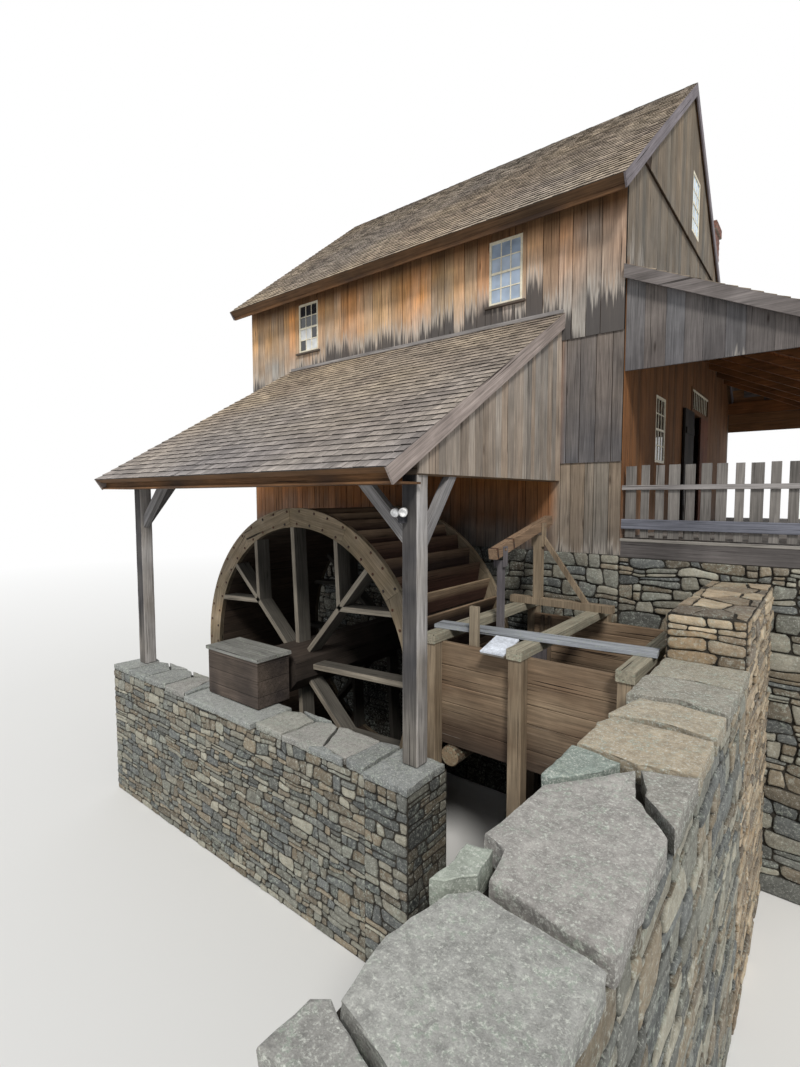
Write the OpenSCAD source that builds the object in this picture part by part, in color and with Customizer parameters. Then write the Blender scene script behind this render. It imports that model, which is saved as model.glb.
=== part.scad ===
// Timber watermill with a breast wheel under a lean-to shed, millimetres
// X runs along the long wall, Y into the building, Z up
// The origin is the near right corner of the mill, level with the wheel pit floor

/* [Mill body] */
// length of the long wall
mill_len = 8250; // [7000:10:9500]
// depth of the building from long wall to rear wall
mill_depth = 9490; // [9000:10:10200]
// thickness of the framed walls
wall_t = 130; // [100:5:180]
// how far each tier of boards laps out over the tier below
lap_t = 20; // [12:1:30]
// underside of the timber sill
sill_z = 4114; // [3900:1:4250]
// height of the lower lap across the long wall
seam_low_z = 5444; // [5200:1:5700]
// height of the upper lap across the long wall
seam_high_z = 7240; // [7050:1:7400]
// height of the jettied seam across the gable
jetty_z = 9728; // [9500:1:9850]
// how far the upper gable stands out
jetty_out = 45; // [20:1:80]
// top of the ground floor
floor_z = 4350; // [4300:1:4400]
// thickness of each boarded floor with its joists
floor_t = 140; // [100:5:200]
// top of the upper floor
upper_floor_z = 7300; // [7200:5:7400]
// top of the attic floor
attic_floor_z = 9290; // [9200:5:9320]

/* [Main roof] */
// roof slope as rise over run
roof_slope = 0.8213; // [0.75:0.001:0.9]
// outer edge of the front eave, measured out from the long wall
eave_out = 551; // [450:1:650]
// top of the roof at the front eave
eave_z = 9037; // [8950:1:9150]
// distance from the long wall back to the ridge
ridge_y = 3567; // [3400:1:3700]
// how far the eave slants back under its edge
eave_cut = 100; // [60:5:130]
// depth of the boxed eave below the top of the roof edge
eave_drop = 145; // [120:5:170]
// roof build-up measured plumb
roof_vt = 170; // [130:5:220]
// roof overhang past each gable
rake_out = 90; // [60:5:140]
// thickness of the barge boards
barge_t = 25; // [18:1:40]
// plumb depth of the barge boards
barge_h = 230; // [180:5:300]
// thickness of the eave fascia
fascia_t = 25; // [18:1:40]

/* [Windows] */
// width of the long wall windows
win_w = 572; // [500:1:700]
// height of the long wall windows
win_h = 989; // [900:1:1100]
// sill height of the long wall windows
win_z = 7960; // [7900:1:8050]
// right window, distance of its right edge from the corner
win_right_x = 1526; // [1300:1:1800]
// left window, distance of its right edge from the corner
win_left_x = 6062; // [5800:1:6300]
// thickness of the sash
sash_t = 40; // [30:1:60]
// width of the sash frame
sash_w = 50; // [35:1:70]
// width of the glazing bars
bar_w = 20; // [14:1:28]
// thickness of the glass
glass_t = 6; // [4:1:10]
// gable window width
gwin_w = 638; // [550:1:750]
// gable window height
gwin_h = 1080; // [1000:1:1150]
// gable window, near edge from the long wall
gwin_y = 3750; // [3500:1:3900]
// gable window, sill height
gwin_z = 9923; // [9850:1:9980]
// porch window width
pwin_w = 630; // [550:1:750]
// porch window height
pwin_h = 1095; // [1000:1:1200]
// porch window, near edge from the long wall
pwin_y = 1740; // [1600:1:1900]
// porch window, sill height
pwin_z = 5505; // [5400:1:5600]
// how far the sashes sit back in the wall
win_in = 30; // [20:1:50]
// how far the porch window sits back in the wall
pwin_in = 74; // [50:1:80]

/* [Doorway] */
// near edge of the doorway from the long wall
door_y = 4455; // [4300:1:4600]
// width of the doorway between the walls
door_w = 1875; // [1700:1:2000]
// top of the doorway with its barred transom
door_head_z = 7163; // [7000:1:7250]
// underside of the transom rail
transom_z = 6638; // [6500:1:6700]
// width of the frame timbers
frame_w = 90; // [60:5:120]
// how far the frame stands out from the wall
frame_out = 30; // [15:1:45]
// number of bars in the transom light
transom_n = 8; // [6:1:10]
// side of the transom bars
transom_bar = 35; // [25:1:45]
// thickness of the door leaves
leaf_t = 35; // [28:1:45]
// thickness of the ledges across the leaves
ledge_t = 22; // [16:1:28]
// width of the ledges
ledge_w = 120; // [90:5:150]
// lower pintles above the floor
hinge_low = 350; // [250:10:450]
// upper pintles below the transom rail
hinge_high = 420; // [300:10:500]
// thickness of the cream rail over the transom bars
transom_rail = 40; // [25:1:55]

/* [Foundations] */
// thickness of the rubble walls
stone_t = 450; // [350:10:600]

/* [Porch] */
// width of the porch from the gable wall to the outer face of its posts
porch_w = 2700; // [2300:10:3000]
// roof overhang past the posts
porch_over = 225; // [150:5:300]
// top of the porch roof against the gable wall
porch_top_z = 8078; // [7950:1:8200]
// porch roof slope
porch_slope = 0.467; // [0.42:0.001:0.5]
// porch roof build-up measured plumb
porch_vt = 120; // [90:5:160]
// underside of the porch plate
porch_plate_z = 6500; // [6420:5:6560]
// plumb depth of the porch rafters
porch_rafter_h = 130; // [100:5:160]
// underside of the porch end boarding
porch_board_z = 6675; // [6600:1:6750]
// section of the porch posts
porch_post = 150; // [120:5:200]
// number of porch rafters
porch_rafter_n = 8; // [6:1:10]
// width of the porch rafters
porch_rafter_w = 80; // [60:1:100]
// depth of the porch barge boards
porch_barge_h = 180; // [150:5:220]
// overhang of the porch roof past each end
porch_rake = 100; // [60:5:140]
// underside of the tie across the far end of the porch
porch_tie_z = 7148; // [7100:1:7200]
// depth of the porch tie
porch_tie_h = 300; // [240:5:320]
// thickness of the porch tie
porch_tie_t = 110; // [80:5:140]
// underside of the deck sill
deck_z = 4088; // [4000:1:4150]

/* [Porch fence] */
// top of the pickets
picket_top_z = 5370; // [5250:1:5450]
// foot of the pickets above the deck
picket_foot = 20; // [10:1:40]
// thickness of the pickets
picket_t = 22; // [16:1:30]
// width of the pickets
picket_w = 118; // [90:1:140]
// spacing of the pickets
picket_pitch = 185; // [160:1:220]
// first picket from the gable wall
picket_x0 = 60; // [30:1:90]
// top of the upper rail
rail_high_z = 5095; // [4950:1:5150]
// height of the upper rail
rail_high_h = 65; // [50:1:80]
// top of the lower rail
rail_low_z = 4625; // [4560:1:4700]
// height of the lower rail
rail_low_h = 140; // [100:5:160]
// thickness of the rails
rail_t = 35; // [25:1:45]

/* [Wheel shed] */
// left edge of the shed roof from the corner
shed_x0 = 6872; // [6600:1:7100]
// right edge of the shed roof from the corner
shed_x1 = 860; // [800:1:950]
// top of the shed roof against the wall
shed_top_z = 7625; // [7500:1:7750]
// distance of the shed eave from the long wall
shed_eave_y = 4138; // [4050:1:4200]
// top of the shed roof at its eave
shed_eave_z = 5215; // [5150:1:5300]
// how far the shed eave slants back under its edge
shed_cut = 105; // [60:5:130]
// underside of the boxed shed eave
shed_soffit_z = 5068; // [5040:1:5090]
// shed roof build-up measured plumb
shed_vt = 110; // [90:5:140]
// section of the shed posts
shed_post = 192; // [150:1:230]
// right face of the right post from the corner
shed_post_x1 = 908; // [890:1:930]
// left face of the left post from the corner
shed_post_x0 = 6770; // [6700:1:6800]
// distance of the outer face of the posts from the long wall
shed_post_y = 3578; // [3500:1:3650]
// underside of the shed plate
shed_plate_z = 5160; // [5120:1:5200]
// depth of the shed plate
shed_plate_h = 150; // [130:5:170]
// plumb depth of the shed barge boards
shed_barge_h = 220; // [180:5:250]
// plumb depth of the shed rafters
shed_rafter_h = 110; // [90:5:130]
// number of shed rafters
shed_rafter_n = 8; // [6:1:10]
// width of the shed rafters
shed_rafter_w = 80; // [60:1:100]
// first and last rafter, in from the edges of the shed roof
shed_rafter_in = 250; // [200:5:300]
// thickness of the soffit boards
soffit_t = 22; // [16:1:30]
// shed fascia, in from the lower edge of the roof
shed_fascia_in = 60; // [40:1:80]
// underside of the shed end boarding
shed_board_z = 5176; // [5120:1:5230]
// thickness of the single end boards
board_t = 25; // [20:1:35]
// section of the knee braces
brace_w = 100; // [80:5:120]
// plumb depth of the knee braces
brace_h = 190; // [150:5:220]
// reach of the knee braces
brace_run = 735; // [600:5:800]
// reach of the knee braces toward the wall
brace_run_y = 545; // [450:5:700]
// how far the knee braces come down the posts
brace_drop = 720; // [600:10:800]
// width of the ties back to the wall
tie_w = 100; // [80:5:130]
// depth of the ties back to the wall
tie_h = 150; // [120:5:170]

/* [Pit wall] */
// top of the wall in front of the wheel
pit_z = 2156; // [2100:1:2250]
// left end of the wall from the corner
pit_x0 = 7020; // [6900:10:7200]
// right end of the wall from the corner
pit_x1 = 750; // [700:10:800]
// outer face of the wall from the long wall
pit_y0 = 3915; // [3850:5:4000]
// inner face of the wall from the long wall
pit_y1 = 3262; // [3200:1:3300]
// thickness of the cap stones
cap_t = 95; // [60:5:130]
// how far the caps stand out over the wall
cap_out = 25; // [10:1:40]
// how far the middle cap and the end pier stand out further
cap_proud = 45; // [20:1:70]
// left end of the cap under the bearing box from the corner
cap_x0 = 4760; // [4700:5:4820]
// right end of the cap under the bearing box from the corner
cap_x1 = 3190; // [3140:5:3240]
// left side of the end pier from the corner
pit_pier_x = 1340; // [1250:5:1450]
// open joint between the caps
cap_gap = 6; // [4:1:10]

/* [Water wheel] */
// wheel outer radius
wheel_r = 2313; // [2200:1:2320]
// radial depth of the rims
rim_h = 285; // [220:1:330]
// thickness of the rims
rim_t = 75; // [60:1:100]
// wheel centre from the corner
wheel_x = 3778; // [3700:1:3850]
// wheel centre height
wheel_z = 2470; // [2420:1:2520]
// outer face of the front rim from the long wall
wheel_y0 = 2662; // [2600:1:2700]
// outer face of the rear rim from the long wall
wheel_y1 = 375; // [330:1:420]
// turn of the spokes as they stand
wheel_turn = -3; // [-10:0.5:10]
// across flats of the timber axle
axle_w = 640; // [560:5:680]
// radius of the iron gudgeons
gudgeon_r = 50; // [40:1:65]
// face width of the spokes
arm_w = 80; // [60:1:110]
// face width of the forked arms
fork_w = 75; // [60:1:100]
// depth of the spokes along the axle
arm_d = 235; // [180:5:260]
// thickness of the soling boards
sole_t = 25; // [18:1:35]
// number of buckets
bucket_n = 48; // [40:1:52]
// thickness of the bucket boards
bucket_t = 28; // [20:1:35]
// lean of the buckets from radial
bucket_lean = 48; // [35:1:50]

// half the width of the bearing opening in the foundation
bearing_w = 330; // [280:5:400]
// half the width of the bearing block in the box
block_w = 160; // [130:5:200]
// length of the bearing block in the box
block_l = 280; // [220:5:320]
// height of the bearing block above the shaft centre
block_h = 120; // [90:5:150]
/* [Bearing box] */
// left side of the box from the corner
box_x0 = 4575; // [4500:5:4650]
// right side of the box from the corner
box_x1 = 3450; // [3400:5:3480]
// front of the box from the long wall
box_y0 = 3645; // [3600:5:3700]
// back of the box from the long wall
box_y1 = 3120; // [3080:5:3180]
// height of the box sides
box_h = 630; // [560:5:700]
// thickness of the box boards
box_t = 35; // [25:1:45]
// thickness of the lid
lid_t = 40; // [30:1:60]
// how far the lid stands out over the box
lid_out = 24; // [15:1:40]

/* [Flume] */
// left end of the flume from the corner
flume_x0 = 1093; // [1050:1:1150]
// outer face of the outer plank wall from the long wall
flume_y0 = 2850; // [2800:1:2900]
// outer face of the inner plank wall from the long wall
flume_y1 = 315; // [280:1:350]
// thickness of the planks
plank_t = 60; // [45:1:75]
// top of the outer plank wall
flume_z1 = 3300; // [3250:1:3350]
// underside of the flume
flume_z0 = 2115; // [2050:1:2200]
// section of the flume posts
flume_post = 150; // [120:1:180]
// height of the cross beams
cross_h = 110; // [90:1:140]
// width of the cross beams
cross_w = 170; // [140:1:200]
// left cross beam from the corner
cross_a = 1246; // [1200:2:1290]
// middle cross beam from the corner
cross_b = 196; // [100:2:300]
// right cross beam, to the right of the corner
cross_c = 880; // [800:2:960]
// height of the back beam
back_h = 95; // [80:1:120]
// width of the back beam
back_w = 135; // [110:5:160]
// left end of the back beam from the corner
back_x0 = 1313; // [1290:1:1400]
// right end of the back beam, to the right of the corner
back_x1 = 143; // [80:1:200]
// length of the walk plank
walk_l = 2380; // [2300:10:2400]
// width of the walk plank
walk_w = 235; // [180:5:280]
// thickness of the walk plank
walk_t = 45; // [35:1:60]
// left end of the walk plank from the corner
walk_x = 1268; // [1250:1:1290]
// outer edge of the walk plank from the long wall
walk_y = 2750; // [2740:1:2760]
// turn of the walk plank
walk_a = 7; // [4:0.5:8]
// left side of the stub post from the corner
stub_x = 773; // [740:1:800]
// width of the stub post
stub_w = 108; // [80:1:120]
// top of the stub post
stub_z = 3730; // [3600:5:3800]
// radius of the log under the flume
log_r = 118; // [100:1:130]
// log under the flume from the corner
log_x = 960; // [940:1:966]

/* [Gate and lever] */
// centre line of the gate and lever from the corner
gate_x = 900; // [880:1:930]
// thickness of the gate
gate_t = 50; // [40:1:60]
// height of the gate
gate_h = 715; // [600:5:760]
// side of the gate rod
rod_w = 75; // [60:1:90]
// gate rod centre from the long wall
rod_y = 1815; // [1750:1:1900]
// lever pivot from the long wall
pivot_y = 700; // [690:1:705]
// lever pivot height
pivot_z = 4528; // [4480:1:4560]
// slope of the lever as it stands
lever_a = 12.3; // [8:0.1:14]
// width of the lever
lever_w = 110; // [90:1:130]
// depth of the lever
lever_h = 130; // [110:1:150]
// lever reach from pivot to low end
lever_long = 1370; // [1300:5:1400]
// lever reach from pivot to high end
lever_short = 340; // [300:5:370]
// radius of the lever pins
pin_r = 14; // [10:1:18]
// clearance beside the lever
side_gap = 6; // [5:1:10]
// thickness of the cheeks on the lever post
cheek_t = 30; // [20:1:40]
// thickness of the iron cheeks on the gate rod
strap_t = 8; // [6:1:12]
// foot of the brace on the lever post, from the post
prop_run = 640; // [560:5:660]
// height of the brace on the lever post
prop_h = 880; // [780:5:900]
// width of the brace on the lever post
prop_w = 70; // [50:1:90]

// width of the strips that guide the gate
guide_w = 45; // [35:1:60]

/* [Bank wall] */
// inner face of the bank wall from the corner
bank_x0 = 1160; // [1130:5:1200]
// outer face of the bank wall from the corner
bank_x1 = 1840; // [1750:5:1950]
// top of the bank wall
bank_z = 3450; // [3400:5:3520]
// thickness of the bank wall slabs
slab_t = 140; // [100:5:200]
// far end of the bank wall from the long wall
bank_y0 = 7050; // [6500:50:7500]
// near end of the low part, where the pier begins
pier_y = 2400; // [2200:10:2600]
// top of the pier
pier_z = 3850; // [3780:5:3920]

/* [Chimney] */
// side of the chimney stack
chim_w = 675; // [550:5:750]
// right face of the stack from the gable
chim_x = 220; // [180:5:400]
// near face of the stack from the long wall
chim_y = 7830; // [7700:10:8000]
// top of the stack
chim_z = 11726; // [11500:1:11900]
// height of the corbelled cap
chim_cap_h = 200; // [140:5:260]
// how far the corbelled cap stands out
chim_cap_out = 40; // [25:1:60]

/* [Hidden] */
e = 1;
fit = 0.3;
ridge_z = eave_z + roof_slope * (ridge_y + eave_out);
// height of the top face of the main roof over the front half
function front_top(y) = eave_z + roof_slope * (y + eave_out);
// height of the top face of the main roof over the rear half
function rear_top(y) = ridge_z - roof_slope * (y - ridge_y);
eave_rear_y = mill_depth + eave_out - 110;
shed_slope = (shed_top_z - shed_eave_z) / (shed_eave_y - 2 * lap_t);
function shed_top(y) = shed_top_z + shed_slope * (y + 2 * lap_t);
function porch_top(x) = porch_top_z - porch_slope * x;
leaf_gap = 6;
pin_x = frame_out + 10;
leaf_w = (door_w - 2 * frame_w) / 2 - 2 * leaf_gap;
leaf_off = 4;
ledge_in = 60;
pintle_r = 5;
knuckle_r = 9;
hinge_z = [floor_z + hinge_low, transom_z - hinge_high];
knuckle_h = 55;
pintle_drop = 30;
// depth at which the underside of the rear roof comes down to a height
function roof_back(z) = ridge_y + (ridge_z - roof_vt - z) / roof_slope;

// a block from corner to corner
module block(a, b) {
    translate([min(a[0], b[0]), min(a[1], b[1]), min(a[2], b[2])])
        cube([abs(b[0] - a[0]), abs(b[1] - a[1]), abs(b[2] - a[2])]);
}

// an outline in Y and Z drawn out along X
module along_x(x0, x1, pts) {
    translate([x0, 0, 0])
        rotate([90, 0, 90])
            linear_extrude(x1 - x0)
                polygon(pts);
}

// an outline in X and Z drawn out along Y
module along_y(y0, y1, pts) {
    translate([0, y1, 0])
        rotate([90, 0, 0])
            linear_extrude(y1 - y0)
                polygon(pts);
}

module foundation() {
    color("#77746a")
        difference() {
            block([-mill_len, 0, 0], [0, mill_depth, sill_z]);
            block([-mill_len + stone_t, stone_t, -e], [-stone_t, mill_depth - stone_t, sill_z + e]);
            block([-wheel_x - bearing_w, -e, wheel_z - bearing_w],
                [-wheel_x + bearing_w, stone_t + e, wheel_z + bearing_w]);
        }
}

module porch_foundation() {
    color("#77746a") {
        difference() {
            block([0, 0, 0], [porch_w, mill_depth, deck_z]);
            block([-e, stone_t, -e], [porch_w - stone_t, mill_depth - stone_t, deck_z + e]);
        }
    }
}

module pit_wall() {
    color("#7b776c") {
        block([-pit_x0, -pit_y0 + cap_out, 0], [-pit_x1, -pit_y1, pit_z - cap_t]);
        block([-pit_pier_x + cap_out, -pit_y0 + cap_out - cap_proud, 0],
            [-pit_x1, -pit_y0 + cap_out + e, pit_z - cap_t]);
    }
}

cap_end = 10;

// one cap between two distances from the corner, standing out further by so much
module cap_stone(x0, x1, proud) {
    block([-x0, -pit_y0 - proud, pit_z - cap_t], [-x1, -pit_y1 - cap_end, pit_z]);
}

module pit_caps() {
    color("#8a8675") {
        cap_stone(pit_x0 + cap_end, cap_x0 + cap_gap, 0);
        cap_stone(cap_x0, cap_x1, cap_proud);
        cap_stone(cap_x1 - cap_gap, pit_pier_x + cap_gap, 0);
        cap_stone(pit_pier_x, pit_x1 - cap_end, cap_proud);
    }
}

slab_out = 40;
slab_in = 20;
slab_gap = 4;

module bank_wall() {
    color("#7b776c") {
        block([bank_x0, -bank_y0, 0], [bank_x1 - slab_out, -pier_y + e, bank_z - slab_t]);
        block([bank_x0, -pier_y, 0], [bank_x1 - slab_out, 0, pier_z]);
    }
}

module bank_slabs() {
    color("#8a8675")
        block([bank_x0 - slab_in, -bank_y0 - slab_out, bank_z - slab_t],
            [bank_x1, -pier_y - slab_gap, bank_z]);
}

// the long wall, three lapped tiers of boards
module front_wall() {
    color("#6f5b45")
        difference() {
            along_x(-mill_len, 0, [
                [0, sill_z], [wall_t, sill_z],
                [wall_t, front_top(wall_t) - roof_vt - fit],
                [-2 * lap_t, front_top(-2 * lap_t) - roof_vt - fit],
                [-2 * lap_t, seam_high_z],
                [-lap_t, seam_high_z],
                [-lap_t, seam_low_z],
                [0, seam_low_z]]);
            for (x = [win_right_x, win_left_x])
                block([-x - win_w, -3 * lap_t, win_z], [-x, wall_t + e, win_z + win_h]);
        }
}

// the slice of a gable between two depths, up to a height or the roof
module gable_slice(x0, x1, y0, y1, z0, z1) {
    intersection() {
        block([x0, y0, z0], [x1, y1, z1]);
        along_x(x0 - e, x1 + e, [
            [0, sill_z - e], [mill_depth, sill_z - e],
            [mill_depth, rear_top(mill_depth) - roof_vt - fit],
            [ridge_y, ridge_z - roof_vt - fit],
            [0, front_top(0) - roof_vt - fit]]);
    }
}

module gable_near() {
    color("#5a4a3b")
        difference() {
            gable_slice(-wall_t, 0, wall_t, door_y, sill_z, jetty_z);
            block([-wall_t - e, pwin_y, pwin_z], [e, pwin_y + pwin_w, pwin_z + pwin_h]);
        }
}

module gable_over() {
    color("#5a4a3b") {
        gable_slice(-wall_t, 0, door_y, door_y + door_w, door_head_z, jetty_z);
        gable_slice(-wall_t, 0, door_y, door_y + door_w, sill_z, floor_z);
    }
}

module gable_far() {
    color("#5a4a3b")
        gable_slice(-wall_t, 0, door_y + door_w, mill_depth - wall_t, sill_z, jetty_z);
}

module gable_upper() {
    color("#55483c")
        difference() {
            gable_slice(jetty_out - wall_t, jetty_out, wall_t, mill_depth - wall_t, jetty_z, ridge_z);
            block([-wall_t, gwin_y, gwin_z], [wall_t, gwin_y + gwin_w, gwin_z + gwin_h]);
        }
}

module left_gable() {
    color("#5a4a3b")
        difference() {
            union() {
                gable_slice(-mill_len, -mill_len + wall_t, wall_t, mill_depth - wall_t, sill_z, jetty_z);
                gable_slice(-mill_len - jetty_out, -mill_len + wall_t - jetty_out,
                    wall_t, mill_depth - wall_t, jetty_z, ridge_z);
            }
            block([-mill_len - wall_t, gwin_y, gwin_z],
                [-mill_len + wall_t + e, gwin_y + gwin_w, gwin_z + gwin_h]);
            block([-mill_len - e, pwin_y, pwin_z],
                [-mill_len + wall_t + e, pwin_y + pwin_w, pwin_z + pwin_h]);
        }
}

module rear_wall() {
    color("#5a4a3b")
        difference() {
            along_x(-mill_len, 0, [
                [mill_depth - wall_t, sill_z], [mill_depth, sill_z],
                [mill_depth, rear_top(mill_depth) - roof_vt - fit],
                [mill_depth - wall_t, rear_top(mill_depth - wall_t) - roof_vt - fit]]);
            for (x = [win_right_x, win_left_x])
                block([-x - win_w, mill_depth - wall_t - e, pwin_z], [-x, mill_depth + e, pwin_z + win_h]);
        }
}

module floors() {
    color("#6b5236")
        difference() {
            union() {
                block([-mill_len + wall_t, wall_t, floor_z - floor_t],
                    [-wall_t, mill_depth - wall_t, floor_z]);
                block([-mill_len + wall_t, wall_t, upper_floor_z - floor_t],
                    [-wall_t, min(mill_depth - wall_t, roof_back(upper_floor_z) - wall_t), upper_floor_z]);
                block([-mill_len + wall_t, wall_t, attic_floor_z - floor_t],
                    [-wall_t, roof_back(attic_floor_z) - wall_t, attic_floor_z]);
            }
            block([-chim_x - chim_w, chim_y, floor_z], [-chim_x, chim_y + chim_w, chim_z]);
        }
}

module roof_front() {
    color("#7a6c5c")
        along_x(-mill_len - rake_out, rake_out, [
            [eave_cut - eave_out, front_top(eave_cut - eave_out) - roof_vt],
            [-eave_out, eave_z],
            [ridge_y, ridge_z],
            [ridge_y, ridge_z - roof_vt]]);
}

module roof_rear() {
    color("#7a6c5c")
        difference() {
            along_x(-mill_len - rake_out, rake_out, [
                [eave_rear_y, rear_top(eave_rear_y) - roof_vt],
                [eave_rear_y, rear_top(eave_rear_y)],
                [ridge_y, ridge_z],
                [ridge_y, ridge_z - roof_vt]]);
            block([-chim_x - chim_w, chim_y, sill_z], [-chim_x, chim_y + chim_w, chim_z]);
        }
}

module barge_boards() {
    color("#6a6360") {
        for (x = [rake_out, -mill_len - rake_out - barge_t]) {
            along_x(x, x + barge_t, [
                [-eave_out + eave_cut, front_top(-eave_out + eave_cut) - barge_h], [-eave_out, eave_z],
                [ridge_y, ridge_z], [eave_rear_y, rear_top(eave_rear_y)],
                [eave_rear_y - eave_cut, rear_top(eave_rear_y - eave_cut) - barge_h],
                [ridge_y, ridge_z - barge_h]]);
        }
        for (x = [-shed_x1, -shed_x0 - barge_t])
            along_x(x, x + barge_t, [
                [-shed_eave_y + shed_cut, shed_top(-shed_eave_y + shed_cut) - shed_barge_h],
                [-shed_eave_y, shed_eave_z],
                [-2 * lap_t, shed_top_z], [-2 * lap_t, shed_top_z - shed_barge_h]]);
    }
}

fascia_y = -eave_out + eave_cut + 8;
shed_fascia_y = -shed_eave_y + shed_cut + shed_fascia_in;

module eave_fascia() {
    color("#6a5a48") {
        along_x(-mill_len - rake_out, rake_out, [
            [fascia_y, eave_z - eave_drop],
            [fascia_y, front_top(fascia_y) - roof_vt - fit],
            [fascia_y + fascia_t, front_top(fascia_y + fascia_t) - roof_vt - fit],
            [fascia_y + fascia_t, eave_z - eave_drop]]);
        along_x(-shed_x0, -shed_x1, [
            [-shed_eave_y + shed_cut, shed_soffit_z],
            [-shed_eave_y + shed_cut, shed_soffit_z + soffit_t],
            [shed_fascia_y, shed_soffit_z + soffit_t],
            [shed_fascia_y, shed_top(shed_fascia_y) - shed_vt - fit],
            [shed_fascia_y + fascia_t, shed_top(shed_fascia_y + fascia_t) - shed_vt - fit],
            [shed_fascia_y + fascia_t, shed_soffit_z + soffit_t],
            [-shed_post_y, shed_soffit_z + soffit_t],
            [-shed_post_y, shed_soffit_z]]);
    }
}

// a sash lying in X and Z with a frame and bars, hung in its opening
module sash(w, h, nx, nz) {
    difference() {
        cube([w, sash_t, h]);
        for (i = [0 : nx - 1])
            for (k = [0 : nz - 1])
                translate([sash_w + i * (w - 2 * sash_w + bar_w) / nx, -e,
                    sash_w + k * (h - 2 * sash_w + bar_w) / nz])
                    cube([(w - 2 * sash_w + bar_w) / nx - bar_w, sash_t + 2 * e,
                        (h - 2 * sash_w + bar_w) / nz - bar_w]);
    }
}

// places a sash or pane in each window
module at_windows() {
    for (x = [win_right_x, win_left_x])
        translate([-x - win_w, win_in, win_z])
            children(0);
    translate([-win_in + jetty_out, gwin_y, gwin_z])
        rotate([0, 0, 90])
            children(1);
    translate([-pwin_in, pwin_y, pwin_z])
        rotate([0, 0, 90])
            children(2);
    for (x = [win_right_x, win_left_x])
        translate([-x, mill_depth - win_in, pwin_z])
            rotate([0, 0, 180])
                children(0);
    translate([-mill_len + win_in - jetty_out, gwin_y + gwin_w, gwin_z])
        rotate([0, 0, -90])
            children(1);
    translate([-mill_len + win_in, pwin_y + pwin_w, pwin_z])
        rotate([0, 0, -90])
            children(2);
}

module sashes() {
    color("#dcd6c2")
        at_windows() {
            sash(win_w, win_h, 3, 4);
            sash(gwin_w, gwin_h, 3, 4);
            sash(pwin_w, pwin_h, 3, 4);
        }
}

module pane(w, h) {
    translate([sash_w, sash_t, sash_w])
        cube([w - 2 * sash_w, glass_t, h - 2 * sash_w]);
}

module glass() {
    color("#3a4850")
        at_windows() {
            pane(win_w, win_h);
            pane(gwin_w, gwin_h);
            pane(pwin_w, pwin_h);
        }
}

module chimney() {
    color("#8a4a38") {
        block([-chim_x - chim_w, chim_y, floor_z], [-chim_x, chim_y + chim_w, chim_z - chim_cap_h]);
        block([-chim_x - chim_w - chim_cap_out, chim_y - chim_cap_out, chim_z - chim_cap_h],
            [-chim_x + chim_cap_out, chim_y + chim_w + chim_cap_out, chim_z]);
    }
}

module door_frame() {
    color("#5d4430") {
        difference() {
            block([-wall_t, door_y, floor_z], [frame_out, door_y + door_w, door_head_z]);
            block([-wall_t - e, door_y + frame_w, floor_z - e],
                [frame_out + e, door_y + door_w - frame_w, transom_z]);
            block([-wall_t - e, door_y + frame_w, transom_z + frame_w],
                [frame_out + e, door_y + door_w - frame_w, door_head_z - frame_w / 2]);
        }
        for (y = [door_y + frame_w, door_y + door_w - frame_w])
            for (z = hinge_z) {
                translate([pin_x, y, z - pintle_drop])
                    cylinder(r = pintle_r, h = pintle_drop + knuckle_h);
                block([frame_out - e, y - 3, z - pintle_drop], [pin_x, y + 3, z - fit]);
            }
    }
}

// a leaf with its knuckles and ledges, hung at one jamb
// side is where the boards lie off the pin, back is where the ledges do
module leaf(y, side, back) {
    difference() {
        union() {
            block([pin_x + side, y - leaf_gap - leaf_w, floor_z + 12],
                [pin_x + side + leaf_t, y - leaf_gap, transom_z - 8]);
            for (z = hinge_z)
                translate([pin_x, y, z])
                    cylinder(r = knuckle_r, h = knuckle_h);
            for (z = hinge_z)
                block([pin_x + back, y - leaf_gap - leaf_w + ledge_in, z - ledge_w / 2],
                    [pin_x + back + ledge_t, y - leaf_gap - ledge_in, z + ledge_w / 2]);
        }
        for (z = hinge_z)
            translate([pin_x, y, z - e])
                cylinder(r = pintle_r + fit, h = knuckle_h + 2 * e);
    }
}

transom_in = 20;
transom_pitch = (door_w - 2 * frame_w) / (transom_n + 1);

// upright bars of the transom light under a rail
module transom_bars() {
    color("#dcd6c2") {
        for (i = [1 : transom_n])
            translate([-transom_in, door_y + frame_w + i * transom_pitch - transom_bar / 2, transom_z + frame_w])
                cube([transom_bar, transom_bar, door_head_z - frame_w * 1.5 - transom_z]);
        block([-transom_in, door_y + frame_w, door_head_z - frame_w / 2 - transom_rail],
            [-transom_in + transom_bar, door_y + door_w - frame_w, door_head_z - frame_w / 2]);
    }
}

module door_near() {
    color("#2e2722")
        leaf(door_y + frame_w, -leaf_off, leaf_t - leaf_off);
}

module door_far() {
    color("#5c3426")
        leaf(door_y + door_w - frame_w, leaf_off - leaf_t, leaf_off - leaf_t - ledge_t);
}

module porch_deck() {
    color("#77726c")
        block([0, 0, deck_z], [porch_w, mill_depth, floor_z]);
}

// where the rear rake comes down to the top of the porch roof
notch_y = ridge_y + (ridge_z - barge_h - porch_top_z) / roof_slope;

// the space taken by the rear rake of the main roof where it meets the porch
module rake_notch() {
    along_x(-e, rake_out + barge_t + fit, [
        [notch_y, rear_top(notch_y) - barge_h - fit], [notch_y, ridge_z],
        [eave_rear_y, ridge_z], [eave_rear_y, rear_top(eave_rear_y) - barge_h - fit]]);
}

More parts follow.
